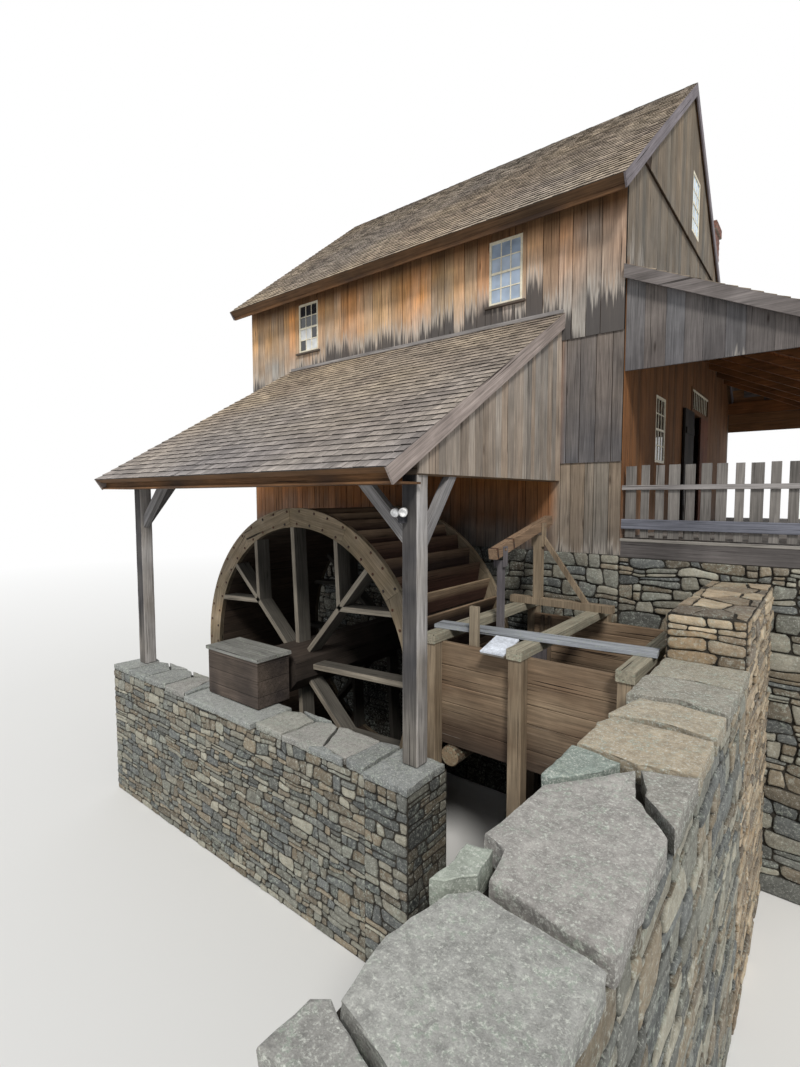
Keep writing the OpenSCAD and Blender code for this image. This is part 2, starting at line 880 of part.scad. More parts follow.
module porch_roof() {
    color("#7a6c5c")
        difference() {
            along_y(-porch_rake, mill_depth + porch_rake, [
                [0, porch_top(0) - porch_vt], [0, porch_top(0)],
                [porch_w + porch_over, porch_top(porch_w + porch_over)],
                [porch_w + porch_over, porch_top(porch_w + porch_over) - porch_vt]]);
            rake_notch();
        }
}

module porch_boarding() {
    color("#6a6058")
        difference() {
            union() {
                for (y = [0, mill_depth - board_t])
                    along_y(y, y + board_t, [
                        [0, porch_board_z], [0, porch_top(0) - porch_vt - fit],
                        [porch_w, porch_top(porch_w) - porch_vt - fit],
                        [porch_w, porch_board_z]]);
                for (y = [-porch_rake - barge_t, mill_depth + porch_rake])
                    along_y(y, y + barge_t, [
                        [0, porch_top(0) - porch_barge_h], [0, porch_top(0)],
                        [porch_w + porch_over, porch_top(porch_w + porch_over)],
                        [porch_w + porch_over, porch_top(porch_w + porch_over) - porch_barge_h]]);
            }
            rake_notch();
        }
}

post_pitch = (mill_depth - 2 * board_t - porch_post) / 3;

module porch_posts() {
    color("#7d6a52")
        for (k = [0 : 3])
            translate([porch_w - porch_post, board_t + k * post_pitch, floor_z])
                cube([porch_post, porch_post, porch_plate_z - floor_z]);
}

module porch_plate() {
    color("#8a6540")
        along_y(board_t, mill_depth - board_t, [
            [porch_w - porch_post, porch_plate_z],
            [porch_w - porch_post, porch_top(porch_w - porch_post) - porch_vt - fit],
            [porch_w, porch_top(porch_w) - porch_vt - fit],
            [porch_w, porch_plate_z]]);
}

// how far out the underside of the porch roof comes down to a height
function porch_reach(z) = (porch_top_z - porch_vt - fit - z) / porch_slope;

// the rafters, and the tie that carries the far end of the porch roof
module porch_rafters() {
    color("#8a6540") {
        for (k = [1 : porch_rafter_n])
            translate([0, k * mill_depth / (porch_rafter_n + 1), 0])
                along_y(-porch_rafter_w / 2, porch_rafter_w / 2, [
                    [0, porch_top(0) - porch_vt - porch_rafter_h], [0, porch_top(0) - porch_vt - fit],
                    [porch_w - porch_post, porch_top(porch_w - porch_post) - porch_vt - fit],
                    [porch_w - porch_post, porch_top(porch_w - porch_post) - porch_vt - porch_rafter_h]]);
        difference() {
            along_y(mill_depth - board_t - porch_tie_t, mill_depth - board_t, [
                [0, porch_tie_z], [0, porch_tie_z + porch_tie_h],
                [porch_reach(porch_tie_z + porch_tie_h), porch_tie_z + porch_tie_h],
                [porch_reach(porch_tie_z), porch_tie_z]]);
            rake_notch();
        }
    }
}

picket_n = floor((porch_w - porch_post - picket_w - picket_x0) / picket_pitch) + 1;

rail_y = 3;

module porch_fence() {
    color("#8a8a86") {
        block([0, rail_y, rail_high_z - rail_high_h],
            [porch_w - porch_post, rail_y + rail_t, rail_high_z]);
        block([0, rail_y, rail_low_z - rail_low_h],
            [porch_w - porch_post, rail_y + rail_t, rail_low_z]);
        for (i = [0 : picket_n - 1])
            translate([picket_x0 + i * picket_pitch, rail_y + rail_t, 0])
                block([0, 0, floor_z + picket_foot], [picket_w, picket_t, picket_top_z]);
    }
}

module shed_roof() {
    color("#7a6c5c")
        along_x(-shed_x0, -shed_x1, [
            [-shed_eave_y + shed_cut, shed_top(-shed_eave_y + shed_cut) - shed_vt],
            [-shed_eave_y, shed_eave_z],
            [-2 * lap_t, shed_top_z], [-2 * lap_t, shed_top_z - shed_vt]]);
}

module shed_posts() {
    color("#8b8680")
        for (x = [-shed_post_x0, -shed_post_x1 - shed_post])
            block([x, -shed_post_y, pit_z], [x + shed_post, -shed_post_y + shed_post, shed_plate_z]);
}

module shed_plate() {
    color("#8b8680")
        block([-shed_post_x0, -shed_post_y, shed_plate_z],
            [-shed_post_x1, -shed_post_y + shed_post, shed_plate_z + shed_plate_h]);
}

module shed_ties() {
    color("#8b8680")
        for (x = [-shed_post_x0, -shed_post_x1 - tie_w])
            block([x, -shed_post_y + shed_post, shed_plate_z], [x + tie_w, 0, shed_plate_z + tie_h]);
}

// a knee brace from the post up to the beam, drawn from the corner they make
function brace_outline(run) = [
    [0, shed_plate_z - brace_drop], [0, shed_plate_z - brace_drop + brace_h],
    [run - brace_h * run / brace_drop, shed_plate_z], [run, shed_plate_z]];

brace_y = -shed_post_y + 40;

module shed_braces() {
    color("#7d7468") {
        for (s = [0, 1])
            translate([-shed_post_x0 + shed_post, 0, 0])
                translate([s * (shed_post_x0 - shed_post_x1 - 2 * shed_post), 0, 0])
                    mirror([s, 0, 0])
                        along_y(brace_y, brace_y + brace_w, brace_outline(brace_run));
        for (x = [-shed_post_x0, -shed_post_x1 - tie_w])
            translate([0, -shed_post_y + shed_post, 0])
                along_x(x, x + tie_w, brace_outline(brace_run_y));
    }
}

shed_tail_y = -shed_fascia_y - fascia_t - 5;
shed_tail_h = 60;
shed_pitch = (shed_x0 - shed_x1 - 2 * shed_rafter_in - shed_rafter_w) / (shed_rafter_n - 1);
// where the underside of the rafters comes down to the plate
shed_seat_y = (shed_plate_z + shed_plate_h - shed_top_z + shed_vt + shed_rafter_h) / shed_slope - 2 * lap_t;

module shed_rafters() {
    color("#7a6248")
        for (k = [0 : shed_rafter_n - 1])
            translate([-shed_x0 + shed_rafter_in + k * shed_pitch, 0, 0])
                along_x(0, shed_rafter_w, [
                    [-shed_tail_y, shed_top(-shed_tail_y) - shed_vt - fit],
                    [-2 * lap_t, shed_top_z - shed_vt - fit],
                    [-2 * lap_t, shed_top_z - shed_vt - shed_rafter_h],
                    [shed_seat_y, shed_plate_z + shed_plate_h],
                    [-shed_post_y, shed_plate_z + shed_plate_h],
                    [-shed_tail_y, shed_top(-shed_tail_y) - shed_vt - shed_tail_h]]);
}

module shed_boarding() {
    color("#8f867a")
        for (x = [-shed_post_x1, -shed_post_x0 - board_t])
            along_x(x, x + board_t, [
                [-shed_post_y, shed_board_z],
                [-shed_post_y, shed_top(-shed_post_y) - shed_vt - fit],
                [-2 * lap_t, shed_top_z - shed_vt - fit],
                [-2 * lap_t, seam_high_z], [-lap_t, seam_high_z],
                [-lap_t, seam_low_z], [0, seam_low_z],
                [0, shed_board_z]]);
}

// everything of the wheel is drawn about its own axis, then placed
module at_wheel() {
    translate([-wheel_x, 0, wheel_z])
        children();
}

// a cylinder along Y
module y_cyl(r, y0, y1) {
    translate([0, y1, 0])
        rotate([90, 0, 0])
            cylinder(r = r, h = y1 - y0);
}

axle_y0 = 2980;
axle_y1 = 120;
gudgeon_l = 400;
rim_ri = wheel_r - rim_h;

module wheel_axle() {
    color("#4c4038")
        at_wheel() {
            rotate([0, wheel_turn, 0])
                translate([0, -axle_y1, 0])
                    rotate([90, 0, 0])
                        linear_extrude(axle_y0 - axle_y1)
                            polygon([for (a = [22.5 : 45 : 359])
                                axle_w / 2 / cos(22.5) * [cos(a), sin(a)]]);
            y_cyl(gudgeon_r, -axle_y0 - gudgeon_l, -axle_y0 + e);
            y_cyl(gudgeon_r, -axle_y1 - e, stone_t);
        }
}

// a bucket board reaches almost to the edge of the rims
bucket_len = (rim_h - sole_t - 45) / cos(bucket_lean);
// the struts leave the slanting arms a little past half way out
strut_at = 0.541 * wheel_r * cos(45);

// a straight arm in X and Z, its end cut to meet the rim
function arm_outline(x0, side, w) = [
    [x0, side - w / 2], [sqrt(pow(rim_ri, 2) - pow(side - w / 2, 2)), side - w / 2],
    [sqrt(pow(rim_ri, 2) - pow(side + w / 2, 2)), side + w / 2], [x0, side + w / 2]];

module arm(x0, side, w, y0) {
    along_y(y0, y0 + arm_d, arm_outline(x0, side, w));
}

module wheel_arms() {
    color("#6d6258")
        at_wheel()
            for (y = [-wheel_y0, -wheel_y1 - arm_d])
                for (a = [0 : 90 : 270])
                    rotate([0, a + wheel_turn, 0])
                        arm(axle_w / 2, 0, arm_w, y);
}

// four slanting arms at each end, each with two straight struts off it to the rim
module wheel_forks() {
    color("#6d6258")
        at_wheel()
            for (y = [-wheel_y0, -wheel_y1 - arm_d])
                for (a = [0 : 90 : 270])
                    rotate([0, a + wheel_turn, 0])
                        translate([0, y + arm_d, 0])
                            rotate([90, 0, 0])
                                linear_extrude(arm_d)
                                    fork_outline();
}

module fork_outline() {
    rotate(45)
        polygon(arm_outline(axle_w / 2, 0, fork_w));
    polygon(arm_outline(strut_at, strut_at, fork_w));
    mirror([1, -1])
        polygon(arm_outline(strut_at, strut_at, fork_w));
}

module wheel_rims() {
    color("#8d8470")
        at_wheel()
            for (y = [-wheel_y0, -wheel_y1 - rim_t])
                difference() {
                    y_cyl(wheel_r, y, y + rim_t);
                    y_cyl(rim_ri, y - e, y + rim_t + e);
                }
}

module wheel_sole() {
    color("#5a5046")
        at_wheel()
            difference() {
                y_cyl(rim_ri + sole_t, -wheel_y0 + rim_t, -wheel_y1 - rim_t);
                y_cyl(rim_ri, -wheel_y0 + rim_t - e, -wheel_y1 - rim_t + e);
            }
}

module wheel_buckets() {
    color("#5a5046")
        at_wheel()
            for (i = [0 : bucket_n - 1])
                rotate([0, i * 360 / bucket_n + wheel_turn, 0])
                    translate([rim_ri + sole_t + bucket_t / 2 * sin(bucket_lean) + fit, 0, 0])
                        rotate([0, -bucket_lean, 0])
                            block([0, -wheel_y0 + rim_t + fit, -bucket_t / 2],
                                [bucket_len, -wheel_y1 - rim_t - fit, bucket_t / 2]);
}

shaft_gap = 15;
bearing_in = 40;

// a box of boards with a lid over the front bearing
module bearing_box() {
    color("#5f4a38") {
        difference() {
            block([-box_x0, -box_y0, pit_z], [-box_x1, -box_y1, pit_z + box_h]);
            block([-box_x0 + box_t, -box_y0 + box_t, pit_z - e],
                [-box_x1 - box_t, -box_y1 - box_t, pit_z + box_h + e]);
            block([-wheel_x - gudgeon_r - shaft_gap, -box_y1 - box_t - e, pit_z - e],
                [-wheel_x + gudgeon_r + shaft_gap, -box_y1 + e, wheel_z + gudgeon_r + shaft_gap]);
        }
        block([-box_x0 - lid_out, -box_y0 - lid_out, pit_z + box_h],
            [-box_x1 + lid_out, -box_y1 + lid_out, pit_z + box_h + lid_t]);
    }
}

block_gap = 20;

module bearings() {
    color("#4a4640") {
        difference() {
            block([-wheel_x - block_w, -box_y1 - box_t - block_gap - block_l, pit_z],
                [-wheel_x + block_w, -box_y1 - box_t - block_gap, wheel_z + block_h]);
            at_wheel()
                y_cyl(gudgeon_r + fit, -box_y0, -axle_y0);
        }
        difference() {
            block([-wheel_x - bearing_w, bearing_in, wheel_z - bearing_w],
                [-wheel_x + bearing_w, stone_t - bearing_in, wheel_z + bearing_w]);
            at_wheel()
                y_cyl(gudgeon_r + fit, bearing_in - e, stone_t);
        }
    }
}

inner_low = 90;
stub_down = 400;
beam_out = 20;
log_out = 40;

module flume_walls() {
    color("#7a5238") {
        block([-flume_x0, -flume_y0, flume_z0], [bank_x0, -flume_y0 + plank_t, flume_z1]);
        block([-flume_x0, -flume_y1 - plank_t, flume_z0], [bank_x0, -flume_y1, flume_z1 - inner_low]);
        block([-flume_x0, -flume_y0 + plank_t, flume_z0],
            [bank_x0, -flume_y1 - plank_t, flume_z0 + plank_t]);
    }
}

cross_x = [-cross_a, -cross_b, cross_c];
// the posts stand in the middle of the cross beams
post_in = (cross_w - flume_post) / 2;

module flume_posts() {
    color("#6f5a46") {
        for (x = cross_x)
            for (y = [-flume_y0 - flume_post, -flume_y1])
                block([x + post_in, y, 0], [x + post_in + flume_post, y + flume_post, flume_z1]);
        block([-stub_x, -flume_y0 + plank_t, flume_z1 - stub_down],
            [-stub_x + stub_w, -flume_y0 + 2 * plank_t, stub_z]);
    }
}

// the cross beams over the posts, and a log that the flume lies on
module flume_beams() {
    color("#84796a") {
        for (x = cross_x)
            block([x, -flume_y0 - flume_post - beam_out, flume_z1],
                [x + cross_w, -flume_y1 + flume_post, flume_z1 + cross_h]);
        translate([-log_x, 0, flume_z0 - log_r - fit])
            y_cyl(log_r, -flume_y0 - log_out, -flume_y1);
    }
}

guide_z = flume_z1 - inner_low - 10;

// the gate stands between upright strips on the plank walls
module gate_guides() {
    color("#6f5a46")
        for (x = [-gate_x - gate_t / 2 - side_gap - guide_w, -gate_x + gate_t / 2 + side_gap]) {
            block([x, -flume_y0 + plank_t, flume_z0 + plank_t],
                [x + guide_w, -flume_y0 + plank_t + guide_w, guide_z]);
            block([x, -flume_y1 - plank_t - guide_w, flume_z0 + plank_t],
                [x + guide_w, -flume_y1 - plank_t, guide_z]);
        }
}

back_y = 750;
cheek_h = 2.2 * lever_h;
prop_t = 45;
strap_low = 65;
strap_back = 45;
strap_over = 40;
cheek_in = lever_w / 2 + side_gap;
post_half = 45;
pin_z = pivot_z - (rod_y - pivot_y) * tan(lever_a);
rod_top_z = pin_z - lever_h - 10;
slot_gap = 4;
slot_out = 45;
beam_top = flume_z1 + cross_h;

module walk_plank() {
    color("#8e9296")
        translate([-walk_x, -walk_y, beam_top])
            rotate([0, 0, walk_a])
                cube([walk_l, walk_w, walk_t]);
}

// a pin along X, centred
module x_pin(r, half) {
    translate([-half, 0, 0])
        rotate([0, 90, 0])
            cylinder(r = r, h = 2 * half);
}

// the back beam, the post with its cheeks, and a brace from the post down to the beam
module gate_post() {
    color("#8a7a66") {
        block([-back_x0, -back_y, beam_top], [back_x1, -back_y + back_w, beam_top + back_h]);
        difference() {
            union() {
                block([-gate_x - cheek_in, -pivot_y - post_half, beam_top + back_h],
                    [-gate_x + cheek_in, -pivot_y + post_half, pivot_z - lever_h]);
                for (s = [0, 1])
                    translate([-gate_x, 0, 0])
                        mirror([s, 0, 0])
                            block([cheek_in, -pivot_y - post_half, pivot_z - cheek_h],
                                [cheek_in + cheek_t, -pivot_y + post_half, pivot_z + post_half]);
                translate([-gate_x + cheek_in + cheek_t, 0, beam_top + back_h])
                    along_y(-pivot_y - prop_t / 2, -pivot_y + prop_t / 2, [
                        [-e, prop_h - 1.5 * prop_w], [-e, prop_h],
                        [prop_run, 0], [prop_run - 1.2 * prop_w, 0]]);
            }
            translate([-gate_x, -pivot_y, pivot_z])
                x_pin(pin_r + fit, cheek_in + cheek_t + e);
        }
    }
}

module gate_lever() {
    color("#9a6a3c")
        translate([-gate_x, -pivot_y, pivot_z])
            rotate([lever_a, 0, 0]) {
                block([-lever_w / 2, -lever_long, -lever_h / 2], [lever_w / 2, lever_short, lever_h / 2]);
                x_pin(pin_r, cheek_in + cheek_t + 5);
                translate([0, -(rod_y - pivot_y) / cos(lever_a), 0])
                    x_pin(pin_r, cheek_in + strap_t + 5);
            }
}

module gate() {
    color("#6f5a46") {
        block([-gate_x - gate_t / 2, -flume_y0 + plank_t + 10, flume_z0 + plank_t],
            [-gate_x + gate_t / 2, -flume_y1 - plank_t - 10, flume_z0 + plank_t + gate_h]);
        block([-gate_x - rod_w / 2, -rod_y - rod_w / 2, flume_z0 + plank_t + gate_h - e],
            [-gate_x + rod_w / 2, -rod_y + rod_w / 2, rod_top_z]);
        block([-gate_x - cheek_in, -rod_y - rod_w / 2, rod_top_z - rod_w],
            [-gate_x + cheek_in, -rod_y + rod_w / 2, rod_top_z]);
        for (s = [0, 1])
            translate([-gate_x, 0, 0])
                mirror([s, 0, 0])
                    difference() {
                        block([cheek_in, -rod_y - strap_low, rod_top_z - rod_w],
                            [cheek_in + strap_t, -rod_y + strap_back, pin_z + strap_over]);
                        block([cheek_in - e, -rod_y - slot_out, pin_z - pin_r - slot_gap],
                            [cheek_in + strap_t + e, -rod_y + pin_r + slot_gap, pin_z + pin_r + slot_gap]);
                    }
    }
}

foundation();
porch_foundation();
pit_wall();
pit_caps();
bank_wall();
bank_slabs();
front_wall();
gable_near();
gable_over();
gable_far();
gable_upper();
left_gable();
rear_wall();
floors();
roof_front();
roof_rear();
barge_boards();
eave_fascia();
sashes();
glass();
chimney();
door_frame();
transom_bars();
door_near();
door_far();
porch_deck();
porch_roof();
porch_boarding();
porch_posts();
porch_plate();
porch_rafters();
porch_fence();
shed_roof();
shed_posts();
shed_plate();
shed_ties();
shed_braces();
shed_rafters();
shed_boarding();
wheel_axle();
wheel_arms();
wheel_forks();
wheel_rims();
wheel_sole();
wheel_buckets();
bearing_box();
bearings();
flume_walls();
flume_posts();
flume_beams();
walk_plank();
gate_guides();
gate_post();
gate_lever();
gate();
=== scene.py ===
import math
import random

import bpy
from mathutils import Matrix, Vector, noise


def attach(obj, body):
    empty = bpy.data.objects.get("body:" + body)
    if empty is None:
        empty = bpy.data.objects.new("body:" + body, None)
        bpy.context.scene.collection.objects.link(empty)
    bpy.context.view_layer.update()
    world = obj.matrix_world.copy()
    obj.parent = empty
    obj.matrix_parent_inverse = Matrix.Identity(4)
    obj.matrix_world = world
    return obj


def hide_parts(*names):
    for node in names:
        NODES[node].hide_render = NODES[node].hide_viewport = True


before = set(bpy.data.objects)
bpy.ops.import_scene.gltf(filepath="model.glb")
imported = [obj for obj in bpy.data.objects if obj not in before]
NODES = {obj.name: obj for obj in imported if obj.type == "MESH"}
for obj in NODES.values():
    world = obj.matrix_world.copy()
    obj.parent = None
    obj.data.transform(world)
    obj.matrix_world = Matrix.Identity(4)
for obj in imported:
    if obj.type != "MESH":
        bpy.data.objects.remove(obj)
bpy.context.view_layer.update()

# ---------------------------------------------------------------- sizes, in metres, as in the part's source
MILL_LEN, MILL_DEPTH, LAP, BOARD_T = 8.25, 9.49, 0.02, 0.012
SILL_Z, SEAM_LOW, SEAM_HIGH, FLOOR_Z, JETTY_Z, JETTY_OUT, JETTY_Y = 4.114, 5.444, 7.24, 4.35, 9.728, 0.045, (0.88, 6.85)
# openings: where each begins and ends along its wall, and its foot and head
DOORWAY, PORCH_WIN, GABLE_WIN = (4.455, 6.33, 4.35, 7.163), (1.74, 2.37, 5.505, 6.6), (3.75, 4.388, 9.923, 11.003)
FRONT_WINS = (-2.098, -1.526, 7.96, 8.949), (-6.634, -6.062, 7.96, 8.949)
REAR_WINS = (-2.098, -1.526, 5.505, 6.494), (-6.634, -6.062, 5.505, 6.494)
SLOPE, EAVE_OUT, EAVE_Z, RIDGE_Y, ROOF_VT, RAKE_OUT, BARGE_T = 0.8213, 0.551, 9.037, 3.567, 0.17, 0.09, 0.025
RIDGE_Z = EAVE_Z + SLOPE * (RIDGE_Y + EAVE_OUT)
REAR_EAVE_Y = MILL_DEPTH + EAVE_OUT - 0.11
SHED_X0, SHED_X1, SHED_TOP_Z, SHED_EAVE_Y, SHED_EAVE_Z, SHED_VT = -6.872, -0.86, 7.625, -4.138, 5.215, 0.11
SHED_SLOPE = (SHED_TOP_Z - SHED_EAVE_Z) / (-SHED_EAVE_Y - 2 * LAP)
POST_X, POST_W, POST_Y0, POST_Y1 = (-6.77, -1.10), 0.192, -3.578, -3.386
PLATE_X1, PLATE_Z0, PLATE_Z1, TIE_X, TIE_W = -0.908, 5.16, 5.31, (-6.77, -1.008), 0.1
PORCH_W, PORCH_OVER, PORCH_TOP_Z, PORCH_SLOPE, PORCH_VT, PORCH_BOARD_Z = 2.7, 0.225, 8.078, 0.467, 0.12, 6.675
# the wheel stands turned by that many degrees, and its bucket boards lean by LEAN
WHEEL_X, WHEEL_Z, WHEEL_R, RIM_H, RIM_T, WHEEL_TURN = -3.778, 2.47, 2.313, 0.285, 0.075, -3
RIM_Y0, RIM_Y1, RIM_RI, SEGMENTS = -2.662, -0.375, WHEEL_R - RIM_H, 12
AXLE_HALF, ARM_D, STRUT = 0.32, 0.235, 0.541 * WHEEL_R * math.cos(math.radians(45))
BUCKETS, STAVES, LEAN, SOLE_T, BUCKET_T = 48, 96, math.radians(48), 0.025, 0.028
BUCKET_L = (RIM_H - SOLE_T - 0.045) / math.cos(LEAN)
PIT_X0, PIT_Y0, PIT_Y1, PIT_STEP_X, PIT_STEP_Y, PIT_X1 = -7.02, -3.89, -3.262, -1.315, -3.935, -0.75
PIT_Z, PIT_WALL_Z = 2.156, 2.156 - 0.095
BANK_X0, BANK_X1, BANK_W, BANK_Y0, BANK_L, BANK_Z0, BANK_Z1 = 1.16, 1.80, 0.64, -7.05, 4.65, 3.31, 3.45
PIER_Y0, PIER_L, PIER_Z = -2.4, 2.39, 3.85
FLUME_X0, FLUME_X1, FLUME_Y0, FLUME_Y1, FLUME_Z0, FLUME_Z1, BEAM_Z1 = -1.093, 1.16, -2.79, -0.375, 2.115, 3.30, 3.41
PLANK_T, FRAME_X = 0.06, (-1.246, -0.196, 0.88)
CHIM_X1, CHIM_Y0, CHIM_W, CHIM_Z, CHIM_CAP_H, CHIM_OUT = -0.22, 7.83, 0.675, 11.726, 0.2, 0.04
CHIM_X0 = CHIM_X1 - CHIM_W


def front_top(y):
    return EAVE_Z + SLOPE * (y + EAVE_OUT)


def rear_top(y):
    return RIDGE_Z - SLOPE * (y - RIDGE_Y)


def gable_top(y):
    return (front_top(y) if y < RIDGE_Y else rear_top(y)) - ROOF_VT


def shed_top(y):
    return SHED_TOP_Z + SHED_SLOPE * (y + 2 * LAP)


def porch_top(x):
    return PORCH_TOP_Z - PORCH_SLOPE * x


# ---------------------------------------------------------------- colours
def rgb(r, g, b):
    """A colour written as 0-255 screen values, as linear numbers."""
    return tuple(((c / 255 + 0.055) / 1.055) ** 2.4 if c > 10 else c / 255 / 12.92 for c in (r, g, b))


def mix(a, b, t):
    t = max(0.0, min(1.0, t))
    return tuple(x + (y - x) * t for x, y in zip(a, b))


def shade(c, k):
    """A colour made lighter or darker. A fourth number, the share of dark stain, stays as it is."""
    return tuple(min(1.0, x * k) for x in c[:3]) + tuple(c[3:])


def ramp(x, a, b):
    """0 at a, 1 at b, a straight line between them and level outside."""
    return max(0.0, min(1.0, (x - a) / (b - a)))


def bumps(x, y, z, size, seed):
    """Smooth noise from 0 to 1 with features of about that size."""
    return 0.5 + 0.5 * max(-1.0, min(1.0, 1.6 * noise.noise(Vector((x / size + seed, y / size, z / size)))))


def one(c):
    """A tint that is the same everywhere."""
    return lambda *_: c


def varied(c, spread=0.12, size=0.6):
    """A tint that is a little lighter or darker from place to place."""
    return lambda p: shade(c, 1 - spread + 2 * spread * bumps(*p, size, 5.0))


def one_of(low, high, *hues):
    """A tint that picks one of the colours at each call and makes it a little lighter or darker."""
    return lambda _: shade(rng.choice(hues), rng.uniform(low, high))


ORANGE, TAN, PINK = rgb(208, 144, 84), rgb(196, 162, 118), rgb(182, 142, 118)
SILVER, GREY, CHARCOAL = rgb(168, 160, 150), rgb(132, 126, 120), rgb(58, 54, 52)
UMBER, WARM, PORCH_BROWN = rgb(112, 82, 56), rgb(142, 92, 50), rgb(116, 80, 50)

# ---------------------------------------------------------------- meshes
X, Y, Z = Vector((1, 0, 0)), Vector((0, 1, 0)), Vector((0, 0, 1))
rng = random.Random(11)


def quads(rings, n):
    """The faces between closed rings of n points each."""
    return [(k * n + i, k * n + (i + 1) % n, (k + 1) * n + (i + 1) % n, (k + 1) * n + i)
            for k in range(rings - 1) for i in range(n)]


def fan(k, n):
    """The faces from ring k to the one point that follows it."""
    return [(k * n + i, k * n + (i + 1) % n, (k + 1) * n) for i in range(n)]


def level(q):
    """A height, or a function that gives it at each place, as a function."""
    return q if callable(q) else lambda _: q


def centre(poly):
    return sum(p[0] for p in poly) / len(poly), sum(p[1] for p in poly) / len(poly)


def circle(middle, axis, r, height, sides):
    """Points round an axis through the middle, at that height along it."""
    side = axis.orthogonal().normalized()
    other = axis.cross(side)
    turns = [2 * math.pi * k / sides for k in range(sides)]
    return [tuple(middle + axis * height + side * r * math.cos(a) + other * r * math.sin(a)) for a in turns]


class Kit:
    """Collects points, faces, colours and grain coordinates, and makes one piece of them.

    A tint is a function that gives the colour at a point, and n is the direction out of a face.
    """

    def __init__(self):
        self.points, self.faces, self.tint, self.grain, self.smooth = [], [], [], [], []

    def add(self, points, faces, tint, grain=None, smooth=False, flip=False):
        n = len(self.points)
        self.points += points
        self.faces += [tuple(n + i for i in (f[::-1] if flip else f)) for f in faces]
        self.tint += tint
        self.grain += grain or points
        self.smooth += [smooth] * len(faces)

    def make(self, name, slot, material, replaces=(), body="mill"):
        mesh = bpy.data.meshes.new(name)
        mesh.from_pydata(self.points, [], self.faces)
        tint = [(*t, 0.0)[:4] for t in self.tint]
        for kind, attribute, field, rows in (("FLOAT_VECTOR", "grain", "vector", self.grain),
                                             ("FLOAT_COLOR", "tint", "color", tint)):
            data = mesh.attributes.new(attribute, kind, "POINT").data
            data.foreach_set(field, [c for row in rows for c in row])
        mesh.polygons.foreach_set("use_smooth", self.smooth)
        mesh.update()
        mesh.materials.append(material)
        obj = bpy.data.objects.new(name, mesh)
        bpy.context.scene.collection.objects.link(obj)
        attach(obj, body)
        if replaces:
            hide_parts(*replaces)

    def prism(self, o, u, v, n, u0, u1, low, high, d0, d1, tint, seg=0.35, chamfer=0.003, wobble=0.0):
        """A board or beam with soft edges: u0 to u1 across, low to high along v, and d0 to d1 through along n."""
        o, u, v, n = Vector(o), Vector(u), Vector(v), Vector(n)
        low, high = level(low), level(high)
        du, dd, mid = u1 - u0, d1 - d0, (u0 + u1) / 2
        c = min(chamfer, abs(du) / 4, abs(dd) / 4)
        ring = ((0, c), (c, 0), (du - c, 0), (du, c), (du, dd - c), (du - c, dd), (c, dd), (0, dd - c))
        count = max(1, round(abs(high(mid) - low(mid)) / seg))
        shift = [rng.uniform(0, 50) for _ in range(3)]
        points, grain, tints = [], [], []
        for k in range(count + 1):
            t = k / count
            wu, wd = (rng.uniform(-wobble, wobble) if 0 < k < count else 0 for _ in range(2))
            for a, b in ring:
                x, d = u0 + a, d0 + b
                y = low(x) + (high(x) - low(x)) * t
                p = o + u * (x + wu) + v * y + n * (d + wd)
                points.append(tuple(p))
                grain.append((x + shift[0], d + shift[1], y + shift[2]))
                tints.append(tint(p))
        faces = quads(count + 1, 8) + [tuple(range(7, -1, -1)), tuple(range(8 * count, 8 * count + 8))]
        inside_out = u.cross(v).dot(n) * du * dd * (high(mid) - low(mid)) > 0
        self.add(points, faces, tints, grain, flip=inside_out)

    def beam(self, a, b, tint, along="x", seg=0.3, chamfer=0.006, wobble=0.0015):
        """A straight timber that fills the box between two corners, with its grain along one axis."""
        lo, hi = [min(p) for p in zip(a, b)], [max(p) for p in zip(a, b)]
        i, j, k = {"x": (1, 0, 2), "y": (0, 1, 2), "z": (0, 2, 1)}[along]
        axes = X, Y, Z
        self.prism((0, 0, 0), axes[i], axes[j], axes[k], lo[i], hi[i], lo[j], hi[j], lo[k], hi[k],
                   tint, seg, chamfer, wobble)

    def boards(self, plane, u, n, span, low, high, tint, widths, holes=(), gap=0.004, out=BOARD_T, jitter=0.002,
               cuts=()):
        """Upright boards side by side, notched round openings. Each has its own width, thickness and colour."""
        o, low, high = n * plane, level(low), level(high)
        edge = span[0]
        while edge < span[1] - 0.01:
            w = rng.uniform(*widths)
            for c in cuts:
                if edge < c - 1e-6 < edge + w + 0.05:
                    w = c - edge
            if span[1] - edge - w < widths[0] * 0.5:
                w = span[1] - edge
            a, b = edge + gap / 2, edge + w - gap / 2
            edge += w
            deep = out + rng.uniform(-jitter, jitter)
            tone = rng.uniform(0.78, 1.2)
            warm = rng.uniform(-0.06, 0.06)

            def colour(p, tone=tone, warm=warm):
                c = shade(tint(p, tone), tone)
                return (c[0] * (1 + warm), c[1], c[2] * (1 - warm), *c[3:])

            breaks = sorted({a, b, *(x for hole in holes for x in hole[:2] if a < x < b)})
            for p, q in zip(breaks, breaks[1:]):
                if q - p < 0.004:
                    continue
                mid = (p + q) / 2
                stack = [(low, high)]
                for x0, x1, z0, z1 in holes:
                    if x0 < mid < x1:
                        stack = [(low, level(z0)), (level(z1), high)]
                for bot, top in stack:
                    if min(top(p) - bot(p), top(q) - bot(q)) > -0.001 and top(mid) - bot(mid) > 0.01:
                        self.prism(o, u, Z, n, p, q, bot, top, 0.0, deep, colour, 0.28, 0.0025)

